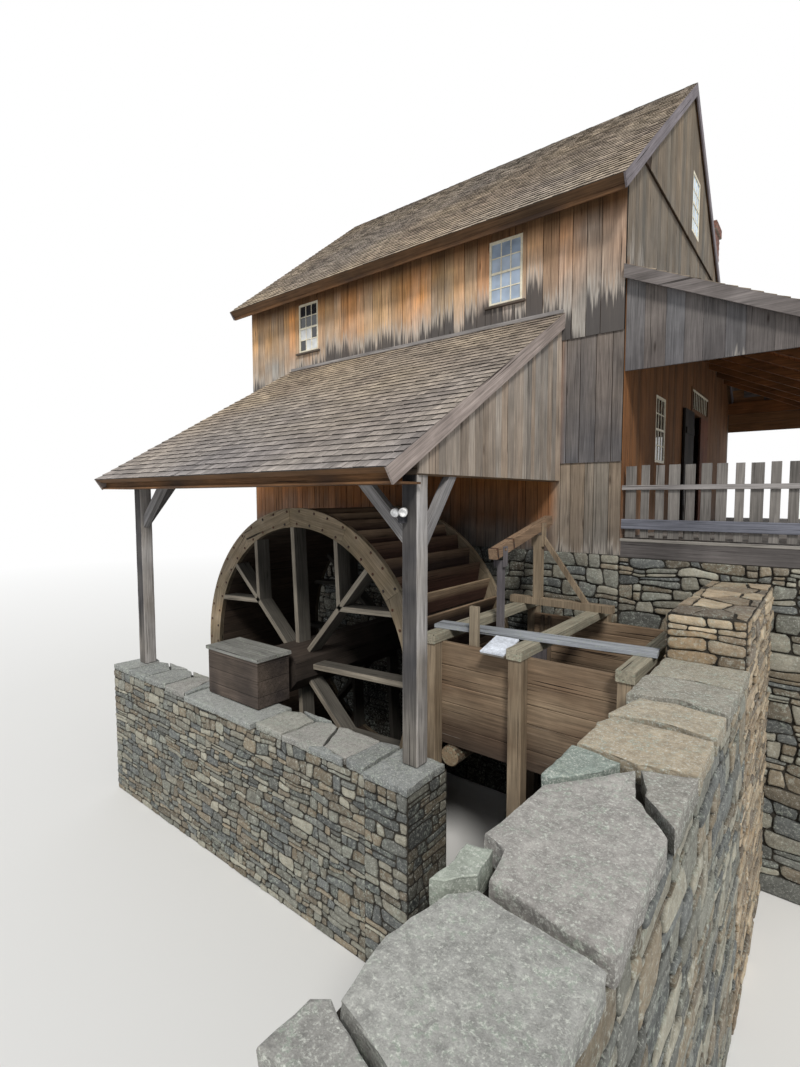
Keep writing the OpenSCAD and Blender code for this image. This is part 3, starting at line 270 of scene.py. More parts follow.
    def shingles(self, eave, u, up, slope, span, reach, skip=None):
        """Courses of split shingles from the eave up. Each is a wedge that lies on the course below."""
        narrow, wide, gap, butt, exposure = 0.08, 0.17, 0.004, 0.014, 0.146
        o, v, n = Vector(eave), (up + Z * slope).normalized(), (Z - up * slope).normalized()
        length = reach * math.hypot(1, slope)
        at = 0.0
        while at < length - 0.03:
            end = at + min(exposure + 0.02, length - at - 0.004)
            edge = span[0]
            while edge < span[1] - 0.002:
                w = rng.uniform(narrow, wide)
                if span[1] - edge - w < narrow * 0.6:
                    w = span[1] - edge
                a, b = edge + gap / 2, edge + w - gap / 2
                edge += w
                low = at + (rng.uniform(-0.004, 0.006) if at else 0.0)
                thick = butt * rng.uniform(0.75, 1.25)
                twist = rng.uniform(-0.0015, 0.0015)
                mid = o + u * (a + b) / 2 + v * (low + (end - at) / 2)
                if skip and skip(mid):
                    continue
                c = shingle_tint(mid)
                # painted shade: the butt end and the sides of each shingle nearly black, and its top darker towards the
                # course above
                dark, shaded_top = shade(c, 0.16), shade(c, 0.7)
                left, right = thick + twist, thick - twist
                corners = [(a, low, 0, dark), (b, low, 0, dark), (b, low, right, dark), (a, low, left, dark),
                           (a, low, left, c), (b, low, right, c), (b, end, 0.0015, shaded_top), (a, end, 0.0015, shaded_top),
                           (a, end, 0, dark), (b, end, 0, dark)]
                sx, sz = rng.uniform(0, 60), rng.uniform(0, 60)
                self.add([tuple(o + u * x + v * y + n * z) for x, y, z, _ in corners],
                         [(0, 1, 2, 3), (4, 5, 6, 7), (0, 4, 7, 8), (1, 9, 6, 5)], [k[3] for k in corners],
                         [(x + sx, z, y + sz) for x, y, z, _ in corners])
            at += exposure

    def stones(self, o, u, n, w, h, size, tint, bulge=(0.012, 0.04), joint=0.007, skip=None):
        """A face of rubble: stones with worn edges that stand out of the wall's face by different amounts."""
        o = Vector((*o, 0))
        for poly in courses(w, h, *size):
            cx, cy = centre(poly)
            if skip and skip(cx, cy):
                continue
            half_w = max(0.012, max(abs(p[0] - cx) for p in poly))
            half_h = max(0.012, max(abs(p[1] - cy) for p in poly))
            gap = joint * rng.uniform(0.7, 1.6)
            kw, kh = max(0.3, 1 - gap / half_w), max(0.3, 1 - gap / half_h)
            near = worn([(cx + (x - cx) * kw, cy + (y - cy) * kh) for x, y in poly])
            m = len(near)
            high = rng.uniform(*bulge)
            lean = (rng.uniform(-0.5, 0.5), rng.uniform(-0.5, 0.5))
            wear = min(0.022, half_w * 0.35, half_h * 0.35)
            c = tint(o + u * cx + Z * cy)
            points, tints = [], []
            # rings from the joint to the face: the inset, the height and the painted shade, darkest down in the joint
            # and lighter towards the face
            for inset, up, dark in ((0.0, -0.004, 0.3), (0.1 * wear, high * 0.5, 0.7),
                                    (0.45 * wear, high * 0.85, 0.95), (1.3 * wear, high, 1.04)):
                out = dark > 0.3
                for x, y in near:
                    px, py = cx + (x - cx) * (1 - inset / half_w), cy + (y - cy) * (1 - inset / half_h)
                    lift = up * (1 + out * (lean[0] * (px - cx) / half_w + lean[1] * (py - cy) / half_h) * 0.5)
                    base = o + u * px + Z * py
                    rough = out * 0.007 * noise.noise(base * 17)
                    points.append(tuple(base + n * (lift + rough)))
                    tints.append(shade(c, dark))
            points.append(tuple(o + u * cx + Z * cy + n * high))
            tints.append(shade(c, 1.02))
            self.add(points, quads(4, m) + fan(3, m), tints, smooth=True, flip=u.cross(Z).dot(n) < 0)

    def slabs(self, outlines, z0, z1, tint, joint=0.008):
        """Flat cap stones with broken edges that lie side by side over a wall."""
        for poly in outlines:
            cx, cy = centre(poly)
            ring = []
            for i, (x, y) in enumerate(poly):
                x2, y2 = poly[(i + 1) % len(poly)]
                steps = max(1, int(math.hypot(x2 - x, y2 - y) / 0.06))
                for s in range(steps):
                    px, py = x + (x2 - x) * s / steps, y + (y2 - y) * s / steps
                    d = math.hypot(px - cx, py - cy)
                    cut = joint * 0.6 + 0.016 * bumps(px, py, 0, 0.11, cx * 7) + 0.008 * bumps(px, py, 0, 0.035, cy * 5)
                    k = max(0.3, 1 - cut / max(d, 1e-6))
                    ring.append((cx + (px - cx) * k, cy + (py - cy) * k))
            m = len(ring)
            top = z1 - rng.uniform(0.0, 0.02)
            tilt = (rng.uniform(-0.012, 0.012), rng.uniform(-0.012, 0.012))
            c = tint(Vector((cx, cy, z1)))
            points, tints = [], []
            # rings from the foot to the middle of the top: the share of the outline, the height and the painted shade,
            # darker down the sides towards the foot
            for share, z, dark in ((1.0, z0, 0.6), (1.0, (z0 + top) / 2, 0.75), (1.0, top - 0.014, 0.85),
                                   (0.985, top - 0.004, 1.0), (0.9, top, 1.0), (0.65, top, 1.05), (0.35, top, 1.0)):
                for x, y in ring:
                    px, py = cx + (x - cx) * share, cy + (y - cy) * share
                    if z < top - 0.01:
                        out = 0.012 * (bumps(px, py, z, 0.07, 3.0) - 0.8)
                        d = math.hypot(px - cx, py - cy)
                        px, py = px + (px - cx) / d * out, py + (py - cy) / d * out
                    rise = tilt[0] * (px - cx) + tilt[1] * (py - cy) if z > z0 else 0
                    flat = z > z0 + 0.02 and z > top - 0.02
                    ripple = 0.012 * (bumps(px, py, 0, 0.2, 9.0) - 0.9) if flat else 0
                    points.append((px, py, min(z1, max(z0, z + rise + ripple))))
                    tints.append(shade(c, dark))
            points.append((cx, cy, min(z1, top + 0.012 * (bumps(cx, cy, 0, 0.2, 9.0) - 0.9))))
            tints.append(c)
            self.add(points, [tuple(range(m - 1, -1, -1)), *quads(7, m), *fan(6, m)], tints)

    def stud(self, middle, axis, r, h, tint):
        """A bolt head or nut on a face, with its washer."""
        for rad, lo, hi in ((r * 1.7, 0.0, h * 0.25), (r, h * 0.25, h)):
            points = circle(middle, axis, rad, lo, 8) + circle(middle, axis, rad, hi - r * 0.15, 8)
            points += circle(middle, axis, rad * 0.82, hi, 8)
            self.add(points, [*quads(3, 8), tuple(range(16, 24))], [tint] * 24)


def clip(poly, px, py, nx, ny):
    """The part of a polygon on the inner side of the line through (px, py) with outward normal (nx, ny)."""
    out = []
    for i, (x, y) in enumerate(poly):
        x2, y2 = poly[(i + 1) % len(poly)]
        d1 = (x - px) * nx + (y - py) * ny
        d2 = (x2 - px) * nx + (y2 - py) * ny
        if d1 <= 0:
            out.append((x, y))
        if d1 * d2 < 0:
            t = d1 / (d1 - d2)
            out.append((x + (x2 - x) * t, y + (y2 - y) * t))
    return out


def cells(x0, y0, w, h, sx, sy):
    """Irregular outlines that fill a rectangle, as flat stones do the top of a wall."""
    missing, jitter_x, jitter_y, reach = 0.1, 0.22, 0.2, 2.5
    nx, ny = max(1, round(w / sx)), max(1, round(h / sy))
    ax, ay = w / nx, h / ny
    seeds = {}
    for j in range(-2, ny + 2):
        for i in range(-2, nx + 2):
            if not (rng.random() < missing and 0 <= i < nx and 0 <= j < ny):
                shift = 0.25 if j % 2 else -0.25
                x = i + 0.5 + shift + rng.uniform(-jitter_x, jitter_x)
                seeds[i, j] = (x, j + 0.5 + rng.uniform(-jitter_y, jitter_y))
    found = []
    for (i, j), (x, y) in seeds.items():
        poly = [(0, 0), (nx, 0), (nx, ny), (0, ny)]
        for dx, dy in ((1, 0), (-1, 0), (0, 1), (0, -1)):
            poly = clip(poly, x + dx * reach, y + dy * reach, dx, dy)
        for dj in range(-3, 4):
            for di in range(-3, 4):
                other = seeds.get((i + di, j + dj))
                if other and (di or dj) and poly:
                    poly = clip(poly, (x + other[0]) / 2, (y + other[1]) / 2, other[0] - x, other[1] - y)
        if len(poly) > 2:
            area = abs(sum(p[0] * q[1] - q[0] * p[1] for p, q in zip(poly, poly[1:] + poly[:1]))) / 2
            if area > 0.06:
                found.append([(x0 + px * ax, y0 + py * ay) for px, py in poly])
    return found


def worn(poly):
    """An outline with its corners cut off."""
    return [p for (x, y), (x2, y2) in zip(poly, poly[1:] + poly[:1])
            for p in ((x * 0.78 + x2 * 0.22, y * 0.78 + y2 * 0.22), (x * 0.22 + x2 * 0.78, y * 0.22 + y2 * 0.78))]


def courses(w, h, sx, sy):
    """Outlines of stones laid in rough courses that fill a rectangle, with wavy beds and leaning joints."""
    seed = rng.uniform(0, 90)
    beds = [0.0]
    while beds[-1] < h - 0.6 * sy:
        beds.append(beds[-1] + sy * rng.uniform(0.55, 1.5))
    beds = [z * h / beds[-1] for z in beds]

    def bed(k, x):
        if k in (0, len(beds) - 1):
            return beds[k]
        wave = noise.noise(Vector((x / (1.9 * sx), k * 3.1 + seed, 0))) * 0.42
        wave += noise.noise(Vector((x / (0.6 * sx), k * 5.3 + seed, 4))) * 0.2
        return beds[k] + wave * sy

    found = []
    for k in range(len(beds) - 1):
        tall = beds[k + 1] - beds[k]
        left, lean_l = 0.0, 0.0
        while left < w - 0.001:
            wide = sx * rng.choice((0.4, 0.6, 0.8, 1.0, 1.3, 1.7)) * rng.uniform(0.85, 1.15)
            right = left + max(wide, tall * 0.7)
            lean_r = rng.uniform(-0.3, 0.3) * tall
            if w - right < 0.35 * sx:
                right, lean_r = w, 0.0
            splits = (0.0, rng.uniform(0.35, 0.65), 1.0) if rng.random() < 0.34 and tall > 0.09 else (0.0, 1.0)

            def edge(f):
                """Points along the stone at that share of the course's height."""
                row = []
                for t in (0.0, 0.33, 0.67, 1.0):
                    x = left + (right - left) * t + (lean_l + (lean_r - lean_l) * t) * (f - 0.5)
                    x = max(0.0, min(w, x))
                    row.append((x, bed(k, x) + (bed(k + 1, x) - bed(k, x)) * f))
                return row

            found += [edge(lo) + edge(hi)[::-1] for lo, hi in zip(splits, splits[1:])]
            left, lean_l = right, lean_r
    return found


# ---------------------------------------------------------------- materials
class Graph:
    """The shader nodes of a material or of the world."""

    def __init__(self, owner):
        owner.use_nodes = True
        self.owner, self.tree = owner, owner.node_tree
        self.tree.nodes.clear()

    def fill(self, node, inputs):
        """Gives each input a number or a colour, or the output that feeds it."""
        for key, value in inputs.items():
            socket = node.inputs[key]
            if isinstance(value, bpy.types.NodeSocket):
                self.tree.links.new(value, socket)
            else:
                socket.default_value = (*value, 1.0) if socket.type == "RGBA" else value
        return node

    def node(self, kind, inputs=None):
        return self.fill(self.tree.nodes.new(kind), inputs or {})

    def place(self):
        return self.node("ShaderNodeTexCoord").outputs["Object"]

    def attribute(self, name, out):
        node = self.node("ShaderNodeAttribute")
        node.attribute_name = name
        return node.outputs[out]

    def stretched(self, at, scale):
        return self.node("ShaderNodeMapping", {"Vector": at, "Scale": scale}).outputs["Vector"]

    def noise(self, at, scale, detail, rough=0.5, twist=0.0):
        """Noise of that scale, or with one scale for each axis."""
        if isinstance(scale, tuple):
            at, scale = self.stretched(at, scale), 1.0
        return self.node("ShaderNodeTexNoise", {"Vector": at, "Scale": scale, "Detail": detail, "Roughness": rough,
                                                "Distortion": twist}).outputs["Fac"]

    def span(self, value, a, b, c=0.0, d=1.0):
        """Maps the span from a to b onto c to d, and stops at its ends."""
        return self.node("ShaderNodeMapRange", {0: value, 1: a, 2: b, 3: c, 4: d}).outputs[0]

    def math(self, how, a, b=0.0):
        node = self.node("ShaderNodeMath")
        node.operation = how
        return self.fill(node, {0: a, 1: b}).outputs[0]

    def times(self, a, b):
        return self.math("MULTIPLY", a, b)

    def mix(self, share, a, b, how="MIX"):
        node = self.node("ShaderNodeMix")
        node.data_type = "RGBA"
        node.blend_type = how
        return self.fill(node, {0: share, 6: a, 7: b}).outputs[2]

    def over(self, colour, mask, share, hue, how="MIX"):
        """The colour with up to that share of another laid over it, or multiplied into it, where the mask is."""
        return self.mix(self.times(mask, share), colour, rgb(*hue), how)

    def scaled(self, colour, factor):
        node = self.node("ShaderNodeVectorMath")
        node.operation = "SCALE"
        return self.fill(node, {0: colour, "Scale": factor}).outputs[0]

    def blended(self, share, first, second):
        """A mix of two shaders."""
        return self.node("ShaderNodeMixShader", {0: share, 1: first.outputs[0], 2: second.outputs[0]}).outputs[0]

    def finish(self, colour, height, rough, strength, distance, specular):
        bump = self.node("ShaderNodeBump", {"Strength": strength, "Distance": distance, "Height": height})
        surface = self.node("ShaderNodeBsdfPrincipled", {
            "Base Color": colour, "Roughness": rough, "Specular IOR Level": specular, "Normal": bump.outputs["Normal"]})
        self.node("ShaderNodeOutputMaterial", {"Surface": surface.outputs["BSDF"]})
        return self.owner


def wood(name, rough=0.8, contrast=1.0, cracks=1.0, knots=1.0, strength=0.5, fine=1.0, lichen=0.0, tint=None, axis="z",
         boards=None):
    """Weathered timber: growth bands, fine grain, cracks, knots and stains.

    With tint, two colours, it is for a CAD node. The grain then follows the axis, and boards gives the axis
    across which seams part the timber and the distance between them.
    """
    g = Graph(bpy.data.materials.new(name))
    place = g.place()

    def grained(across, along, detail, rough=0.5, twist=0.0):
        return g.noise(at, tuple(along if letter == axis else across for letter in "xyz"), detail, rough, twist)

    if tint:
        at = place
        base = g.mix(g.span(g.noise(place, 1.3, 3.0), 0.3, 0.7), *tint)
    else:
        at, base = g.attribute("grain", "Vector"), g.attribute("tint", "Color")
    if boards:
        across = g.node("ShaderNodeSeparateXYZ", {0: place}).outputs[boards[0].upper()]
        across = g.math("DIVIDE", across, boards[1])
        each = g.node("ShaderNodeTexWhiteNoise")
        each.noise_dimensions = "1D"
        g.fill(each, {"W": g.math("FLOOR", across)})
        base = g.scaled(base, g.span(each.outputs["Value"], 0.0, 1.0, 0.72, 1.2))
        seam = g.math("ABSOLUTE", g.math("SUBTRACT", g.math("FRACT", across), 0.5))
        seam = g.span(seam, 0.48, 0.495)
    grain = grained(70 * fine, 2.2 * fine, 5.0, 0.62, 0.4)
    bands = grained(17 * fine, 0.9 * fine, 3.0, 0.5, 1.1)
    crack = g.span(grained(48 * fine, 0.8 * fine, 2.0, 0.4), 0.66, 0.72)
    blotch = g.noise(place, 2.1, 4.0, 0.6)
    spots = g.stretched(at, tuple(1.6 if letter == axis else 7.0 for letter in "xyz"))
    cell = g.node("ShaderNodeTexVoronoi", {"Vector": spots, "Scale": 1.0})
    picked = g.node("ShaderNodeSeparateColor", {0: cell.outputs["Color"]}).outputs[0]
    knot = g.times(g.span(cell.outputs["Distance"], 0.05, 0.16, 1.0, 0.0), g.span(picked, 0.72, 0.74))
    factor = g.times(g.span(grain, 0.25, 0.75, 1 - 0.42 * contrast, 1 + 0.38 * contrast),
                     g.span(bands, 0.3, 0.7, 1 - 0.2 * contrast, 1 + 0.18 * contrast))
    colour = g.scaled(base, g.times(factor, g.span(blotch, 0.3, 0.7, 0.82, 1.14)))
    if not tint:
        streak = grained(34, 0.9, 4.0, 0.6, 0.5)
        reach = g.math("ADD", g.attribute("tint", "Alpha"), g.span(streak, 0.2, 0.8, -0.34, 0.34))
        colour = g.over(colour, g.span(reach, 0.3, 0.46), 0.55, (178, 172, 164))
        colour = g.over(colour, g.span(reach, 0.46, 0.64), 0.86, (58, 55, 56))
    if lichen:
        colour = g.over(colour, g.span(g.noise(place, 26.0, 5.0, 0.7), 0.56, 0.62), lichen, (158, 168, 150))
    colour = g.over(colour, crack, 0.75 * cracks, (60, 52, 46), "MULTIPLY")
    colour = g.over(colour, knot, 0.75 * knots, (92, 66, 48), "MULTIPLY")
    height = g.math("ADD", g.times(grain, 0.6), g.times(bands, 0.4))
    height = g.math("SUBTRACT", height, g.times(crack, 0.9))
    if boards:
        colour = g.over(colour, seam, 0.85, (40, 34, 30), "MULTIPLY")
        height = g.math("SUBTRACT", height, g.times(seam, 3.0))
    return g.finish(colour, height, rough, strength, 0.004, 0.22)


def stone(name, tint=None, lichen=0.35, scale=1.0):
    """Field stone: mottled, grained and cracked, with pale lichen. With tint, two colours, it is for a CAD node."""
    g = Graph(bpy.data.materials.new(name))
    place = g.place()
    if tint:
        base = g.mix(g.span(g.noise(place, 3.0, 4.0), 0.35, 0.65), *tint)
    else:
        base = g.attribute("tint", "Color")
    mottle = g.noise(place, 11.0 * scale, 8.0, 0.68)
    speck = g.noise(place, 95.0 * scale, 3.0, 0.6)
    layers = g.noise(place, (3.0, 3.0, 34.0), 4.0, twist=0.6)
    factor = g.times(g.span(mottle, 0.3, 0.7, 0.68, 1.3), g.span(speck, 0.3, 0.7, 0.85, 1.15))
    colour = g.scaled(base, g.times(factor, g.span(layers, 0.3, 0.7, 0.9, 1.1)))
    patch = g.noise(place, 3.4 * scale, 3.0)
    spots = g.noise(place, 24.0 * scale, 6.0, 0.72)
    flecks = g.noise(place, 46.0 * scale, 7.0, 0.75)
    green = g.times(g.span(patch, 0.44, 0.6), g.span(spots, 0.5, 0.58))
    pale = g.times(g.span(flecks, 0.5, 0.58), g.span(spots, 0.42, 0.6))
    colour = g.over(colour, green, lichen, (148, 158, 146))
    colour = g.over(colour, pale, min(1.0, lichen * 1.2), (202, 204, 196))
    height = g.math("ADD", g.math("ADD", mottle, g.times(speck, 0.2)), g.times(layers, 0.3))
    return g.finish(colour, height, 0.85, 0.7, 0.012, 0.2)


def paint(name, clean, grimy):
    """Old paint with grime and a few worn spots."""
    g = Graph(bpy.data.materials.new(name))
    place = g.place()
    colour = g.mix(g.span(g.noise(place, 9.0, 6.0, 0.7), 0.4, 0.7), clean, grimy)
    colour = g.over(colour, g.span(g.noise(place, 55.0, 4.0), 0.66, 0.7), 0.6, (110, 98, 84))
    return g.finish(colour, g.noise(place, 120.0, 3.0), 0.5, 0.2, 0.001, 0.4)


def iron(name, black, rusty):
    """Black iron with rust."""
    g = Graph(bpy.data.materials.new(name))
    rust = g.noise(g.place(), 22.0, 6.0, 0.7)
    colour = g.mix(g.span(rust, 0.42, 0.62), black, rusty)
    return g.finish(colour, rust, g.span(rust, 0.3, 0.7, 0.5, 0.85), 0.4, 0.002, 0.4)


def glass(name):
    """Old window glass, a little uneven, with a clear reflection."""
    g = Graph(bpy.data.materials.new(name))
    wave = g.noise(g.place(), 4.0, 2.0)
    colour = g.scaled(g.attribute("tint", "Color"), g.span(wave, 0.35, 0.65, 0.8, 1.2))
    return g.finish(colour, wave, 0.06, 0.12, 0.004, 0.9)


BOARDS = wood("boards", 0.82)
TIMBER = wood("timber", contrast=1.05, cracks=1.3, knots=0.7)
SHINGLE = wood("shingle", 0.85, 0.9, cracks=0.9, knots=0.0, strength=0.6, fine=1.3)
LICHENED = wood("lichened_timber", 0.85, cracks=1.2, knots=0.5, lichen=0.5)
ROCK = stone("rubble")
SLAB = stone("slab_stone", lichen=0.75, scale=1.7)
BRICK = stone("brick_face", lichen=0.12, scale=1.6)
PAINTED = stone("painted_metal", lichen=0.02, scale=0.5)
CREAM = paint("cream", rgb(226, 220, 200), rgb(196, 186, 160))
IRON = iron("black_iron", rgb(46, 42, 40), rgb(96, 62, 44))
GLASS = glass("pane")


# ---------------------------------------------------------------- the boarded walls
def weather(p, tone, fresh, old, z0, z1, soaked):
    """Colour of a board, fresh towards z1, old towards z0 and stained dark up to about that share of its height."""
    t = (p.z - z0) / (z1 - z0)
    patches = 0.55 * (bumps(*p, 0.5, tone * 40) - 0.5) + 0.3 * (bumps(*p, 0.16, tone * 11) - 0.5)
    return (*mix(old, fresh, t + patches), ramp(0.52 + 1.7 * (soaked - t), 0.0, 1.0))


def own(tone, k=3):
    """A number from -0.5 to 0.5 that belongs to one board."""
    return (tone * 997.0 * k) % 1.0 - 0.5


def weathered(fresh, old, z0, z1, soaked, spread):
    """A tint for boards that weather in the same way and are each stained to a height of their own."""
    fresh, old = rgb(*fresh), rgb(*old)
    return lambda p, tone: weather(p, tone, fresh, old, z0, z1, soaked + spread * own(tone))


def front_high(p, tone):
    lit = mix(ORANGE, TAN, bumps(p.x, 0, 0, 0.8, 4.0) + 0.5 * own(tone, 1))
    lit = mix(lit, PINK, ramp(p.x, -3.0, -0.5) * 0.6)
    near = ramp(p.x, -5.0, -0.6)
    under = ramp(p.x, SHED_X0 - 0.2, SHED_X0 + 1.2) * ramp(p.x, -0.5, -1.0)
    c = weather(p, tone, lit, SILVER, 7.25, 8.95, 0.1 + 0.27 * under + own(tone) * (0.14 + 0.45 * near * near))
    shadow = ramp(p.z, 8.72, 8.95)
    return (*mix(mix(c[:3], GREY, 0.5 * ramp(p.x, -0.7, -0.3)), UMBER, shadow), c[3] * (1 - shadow))


def front_mid(p, tone):
    if p.x < SHED_END_X:
        return weather(p, tone, WARM, UMBER, 5.3, 6.6, -0.1)
    return mid_open(p, tone)


def front_low(p, tone):
    if p.x < SHED_END_X:
        t = (p.z - 4.1) / 1.3
        dark = mix(GREY, CHARCOAL, bumps(p.x, 0, p.z, 0.5, 2.0))
        return mix(dark, WARM, t * 1.25 + 0.4 * (bumps(*p, 0.3, tone * 9) - 0.5))
    return low_open(p, tone)


def gable_colour(p, tone):
    if p.z < porch_top(0) - 0.05 and -0.2 < p.y < MILL_DEPTH:
        c = weather(p, tone, PORCH_BROWN, shade(PORCH_BROWN, 0.75), 4.1, 8.0, -0.1)
        return (*mix(c[:3], GREY, 0.45 * max(0.0, 1 - (p.z - 4.1) / 0.9)), c[3])
    base = ramp(p.z, 7.9, 9.4)
    return weather(p, tone, rgb(120, 108, 92), rgb(108, 102, 94), 7.9, 12.0, (0.1 - 0.2 * base) + 0.2 * own(tone))


def gable_head(y):
    return min(JETTY_Z, gable_top(y))


SHED_END_X = -0.95
mid_open = weathered((124, 114, 106), (98, 96, 98), 5.4, 7.3, -0.3, 0.7)
low_open = weathered((140, 128, 114), (124, 116, 107), 4.1, 5.5, 0.02, 0.3)
outer_gable = weathered((126, 110, 92), (112, 106, 98), 4.1, 11.0, 0.02, 0.16)
rear_colour = weathered((138, 114, 88), (120, 112, 102), 4.1, 8.0, 0.06, 0.2)
shed_end = weathered((158, 148, 138), (142, 130, 118), 5.1, 7.4, -0.14, 0.2)
porch_end = weathered((116, 112, 110), (92, 88, 88), 6.6, 8.1, -0.3, 0.6)
LONG, DEEP = (-MILL_LEN, 0), (-BOARD_T, MILL_DEPTH + 0.01)

kit = Kit()
kit.boards(2 * LAP, X, -Y, LONG, SEAM_HIGH - 0.012, front_top(-2 * LAP) - ROOF_VT, front_high, (0.17, 0.27),
           FRONT_WINS, 0.009)
kit.boards(LAP, X, -Y, LONG, SEAM_LOW - 0.012, SEAM_HIGH, front_mid, (0.16, 0.26), gap=0.009)
kit.boards(0, X, -Y, LONG, SILL_Z - 0.004, SEAM_LOW, front_low, (0.12, 0.22), gap=0.008)
kit.make("long_wall_boards", "weathered_boards", BOARDS)

kit = Kit()
kit.boards(0, Y, X, DEEP, SILL_Z, gable_head, gable_colour, (0.15, 0.24), [DOORWAY, PORCH_WIN], 0.008, cuts=JETTY_Y[:1])
kit.boards(JETTY_OUT, Y, X, JETTY_Y, JETTY_Z - 0.015, gable_top, gable_colour, (0.13, 0.22), [GABLE_WIN], 0.009,
           cuts=(RIDGE_Y,))
kit.make("gable_boards", "weathered_boards", BOARDS)

kit = Kit()
kit.boards(MILL_LEN, Y, -X, DEEP, SILL_Z, gable_head, outer_gable, (0.16, 0.27), [PORCH_WIN], cuts=JETTY_Y[:1])
kit.boards(MILL_LEN + JETTY_OUT, Y, -X, JETTY_Y, JETTY_Z - 0.015, gable_top, outer_gable, (0.16, 0.25), [GABLE_WIN],
           cuts=(RIDGE_Y,))
kit.boards(MILL_DEPTH, X, Y, LONG, SILL_Z, rear_top(MILL_DEPTH) - ROOF_VT, rear_colour, (0.17, 0.28), REAR_WINS)
kit.make("far_side_boards", "weathered_boards", BOARDS)

# the shed and porch end boards
kit = Kit()
for x in (PLATE_X1, -6.795):
    kit.boards(x, Y, X, (POST_Y0, -0.021), 5.176, lambda y: shed_top(y) - SHED_VT, shed_end, (0.11, 0.18), gap=0.01,
               out=0.025, jitter=0.0)
kit.make("shed_end_boards", "weathered_boards", BOARDS, ["shed_boarding"])

kit = Kit()
for y, n in ((0, -Y), (MILL_DEPTH, Y), (0.025, Y)):
    kit.boards(y, X, n, (0.012, PORCH_W), PORCH_BOARD_Z - 0.004, lambda x: porch_top(x) - PORCH_VT, porch_end,
               (0.2, 0.31), out=0.006, jitter=0.0015)
z, head = PORCH_BOARD_Z - 0.002, PORCH_TOP_Z - PORCH_VT
while z < head - 0.05:
    high = min(z + rng.uniform(0.19, 0.25), head - 0.01)
    reach = min(PORCH_W, (head - high) / PORCH_SLOPE)
    if reach > 0.1:
        c = shade(rgb(126, 92, 62), rng.uniform(0.75, 1.15))
        kit.beam((0.014, MILL_DEPTH - 0.031, z + 0.002), (reach, MILL_DEPTH - 0.025, high - 0.002), one(c), "x", 0.4,
                 0.002, 0.0)
    z = high
kit.make("porch_end_boards", "weathered_boards", BOARDS)


# ---------------------------------------------------------------- the shingled roofs
def shingle_tint(p):
    c = mix(rgb(190, 172, 148), rgb(152, 136, 120), bumps(*p, 0.8, 1.0))
    c = mix(c, rgb(150, 146, 144), 0.6 * (bumps(*p, 2.4, 7.0) - 0.3))
    c = mix(c, rgb(140, 140, 146), 0.6 * ramp(p.y, -1.6, -4.1))
    return (*shade(c, rng.uniform(0.7, 1.2)), 0.1)


def at_chimney(p):
    return CHIM_X0 - 0.03 < p.x < CHIM_X1 + 0.03 and CHIM_Y0 - 0.03 < p.y < CHIM_Y0 + CHIM_W + 0.03


def under_rake(p):
    return p.x < 0.13 and p.y > 8.0 and p.z > rear_top(p.y) - 0.25


main_span = (-MILL_LEN - RAKE_OUT - BARGE_T, RAKE_OUT + BARGE_T)
rear_y, porch_x = REAR_EAVE_Y - 0.014, PORCH_W + PORCH_OVER - 0.01
for name, eave, u, up, slope, span, reach, skip in (
        ("front_shingles", (0, -EAVE_OUT, EAVE_Z), X, Y, SLOPE, main_span, RIDGE_Y + EAVE_OUT, None),
        ("rear_shingles", (0, rear_y, rear_top(rear_y)), X, -Y, SLOPE, main_span, rear_y - RIDGE_Y, at_chimney),
        ("shed_shingles", (0, SHED_EAVE_Y, SHED_EAVE_Z), X, Y, SHED_SLOPE, (SHED_X0 - BARGE_T, SHED_X1 + BARGE_T),
         -2 * LAP - SHED_EAVE_Y, None),
        ("porch_shingles", (porch_x, 0, porch_top(porch_x)), Y, -X, PORCH_SLOPE, (-0.125, MILL_DEPTH + 0.125), porch_x,
         under_rake)):
    kit = Kit()
    kit.shingles(eave, u, up, slope, span, reach, skip)
    kit.make(name, "shingles", SHINGLE)

# ---------------------------------------------------------------- rubble walls and their caps
RUBBLE = ((122, 122, 114), (98, 100, 98), (138, 134, 122), (116, 106, 92), (90, 94, 96), (130, 118, 100),
          (154, 150, 136))
PIER = ((158, 142, 120), (132, 118, 100), (172, 156, 132), (114, 104, 92), (142, 124, 100))
CAPS = ((142, 144, 142), (150, 149, 142), (132, 135, 134), (148, 146, 142))
rubble_tint = one_of(0.66, 1.2, *(mix(rgb(*c), rgb(108, 106, 96), 0.25) for c in RUBBLE))
pier_tint = one_of(0.7, 1.15, *(rgb(*c) for c in PIER))
slab_tint = one_of(0.9, 1.1, *(rgb(*c) for c in CAPS))


def damp_and_shaded_tint(p):
    # darker towards the foot of the wall: damp stone, and painted shade low down
    return shade(rubble_tint(p), 0.3 + 0.7 * ramp(p.z, 0.6, 3.8))


def behind_wheel_tint(p):
    """Darker and wetter behind the wheel than beyond it: wet stone, and painted shade of the wheel."""
    return shade(damp_and_shaded_tint(p), 0.5 + 0.5 * ramp(abs(p.x - WHEEL_X), 2.2, 3.2))


def at_bearing(x, z):
    return abs(x - (MILL_LEN + WHEEL_X)) < 0.36 and abs(z - WHEEL_Z) < 0.36


rng.seed(23)
STANDARD, LOW, FLUSH, ROUGH, PIERS = (0.012, 0.04), (0.006, 0.024), (0.004, 0.009), (0.006, 0.03), (0.004, 0.032)
PORCH_BASE_Z = 4.088
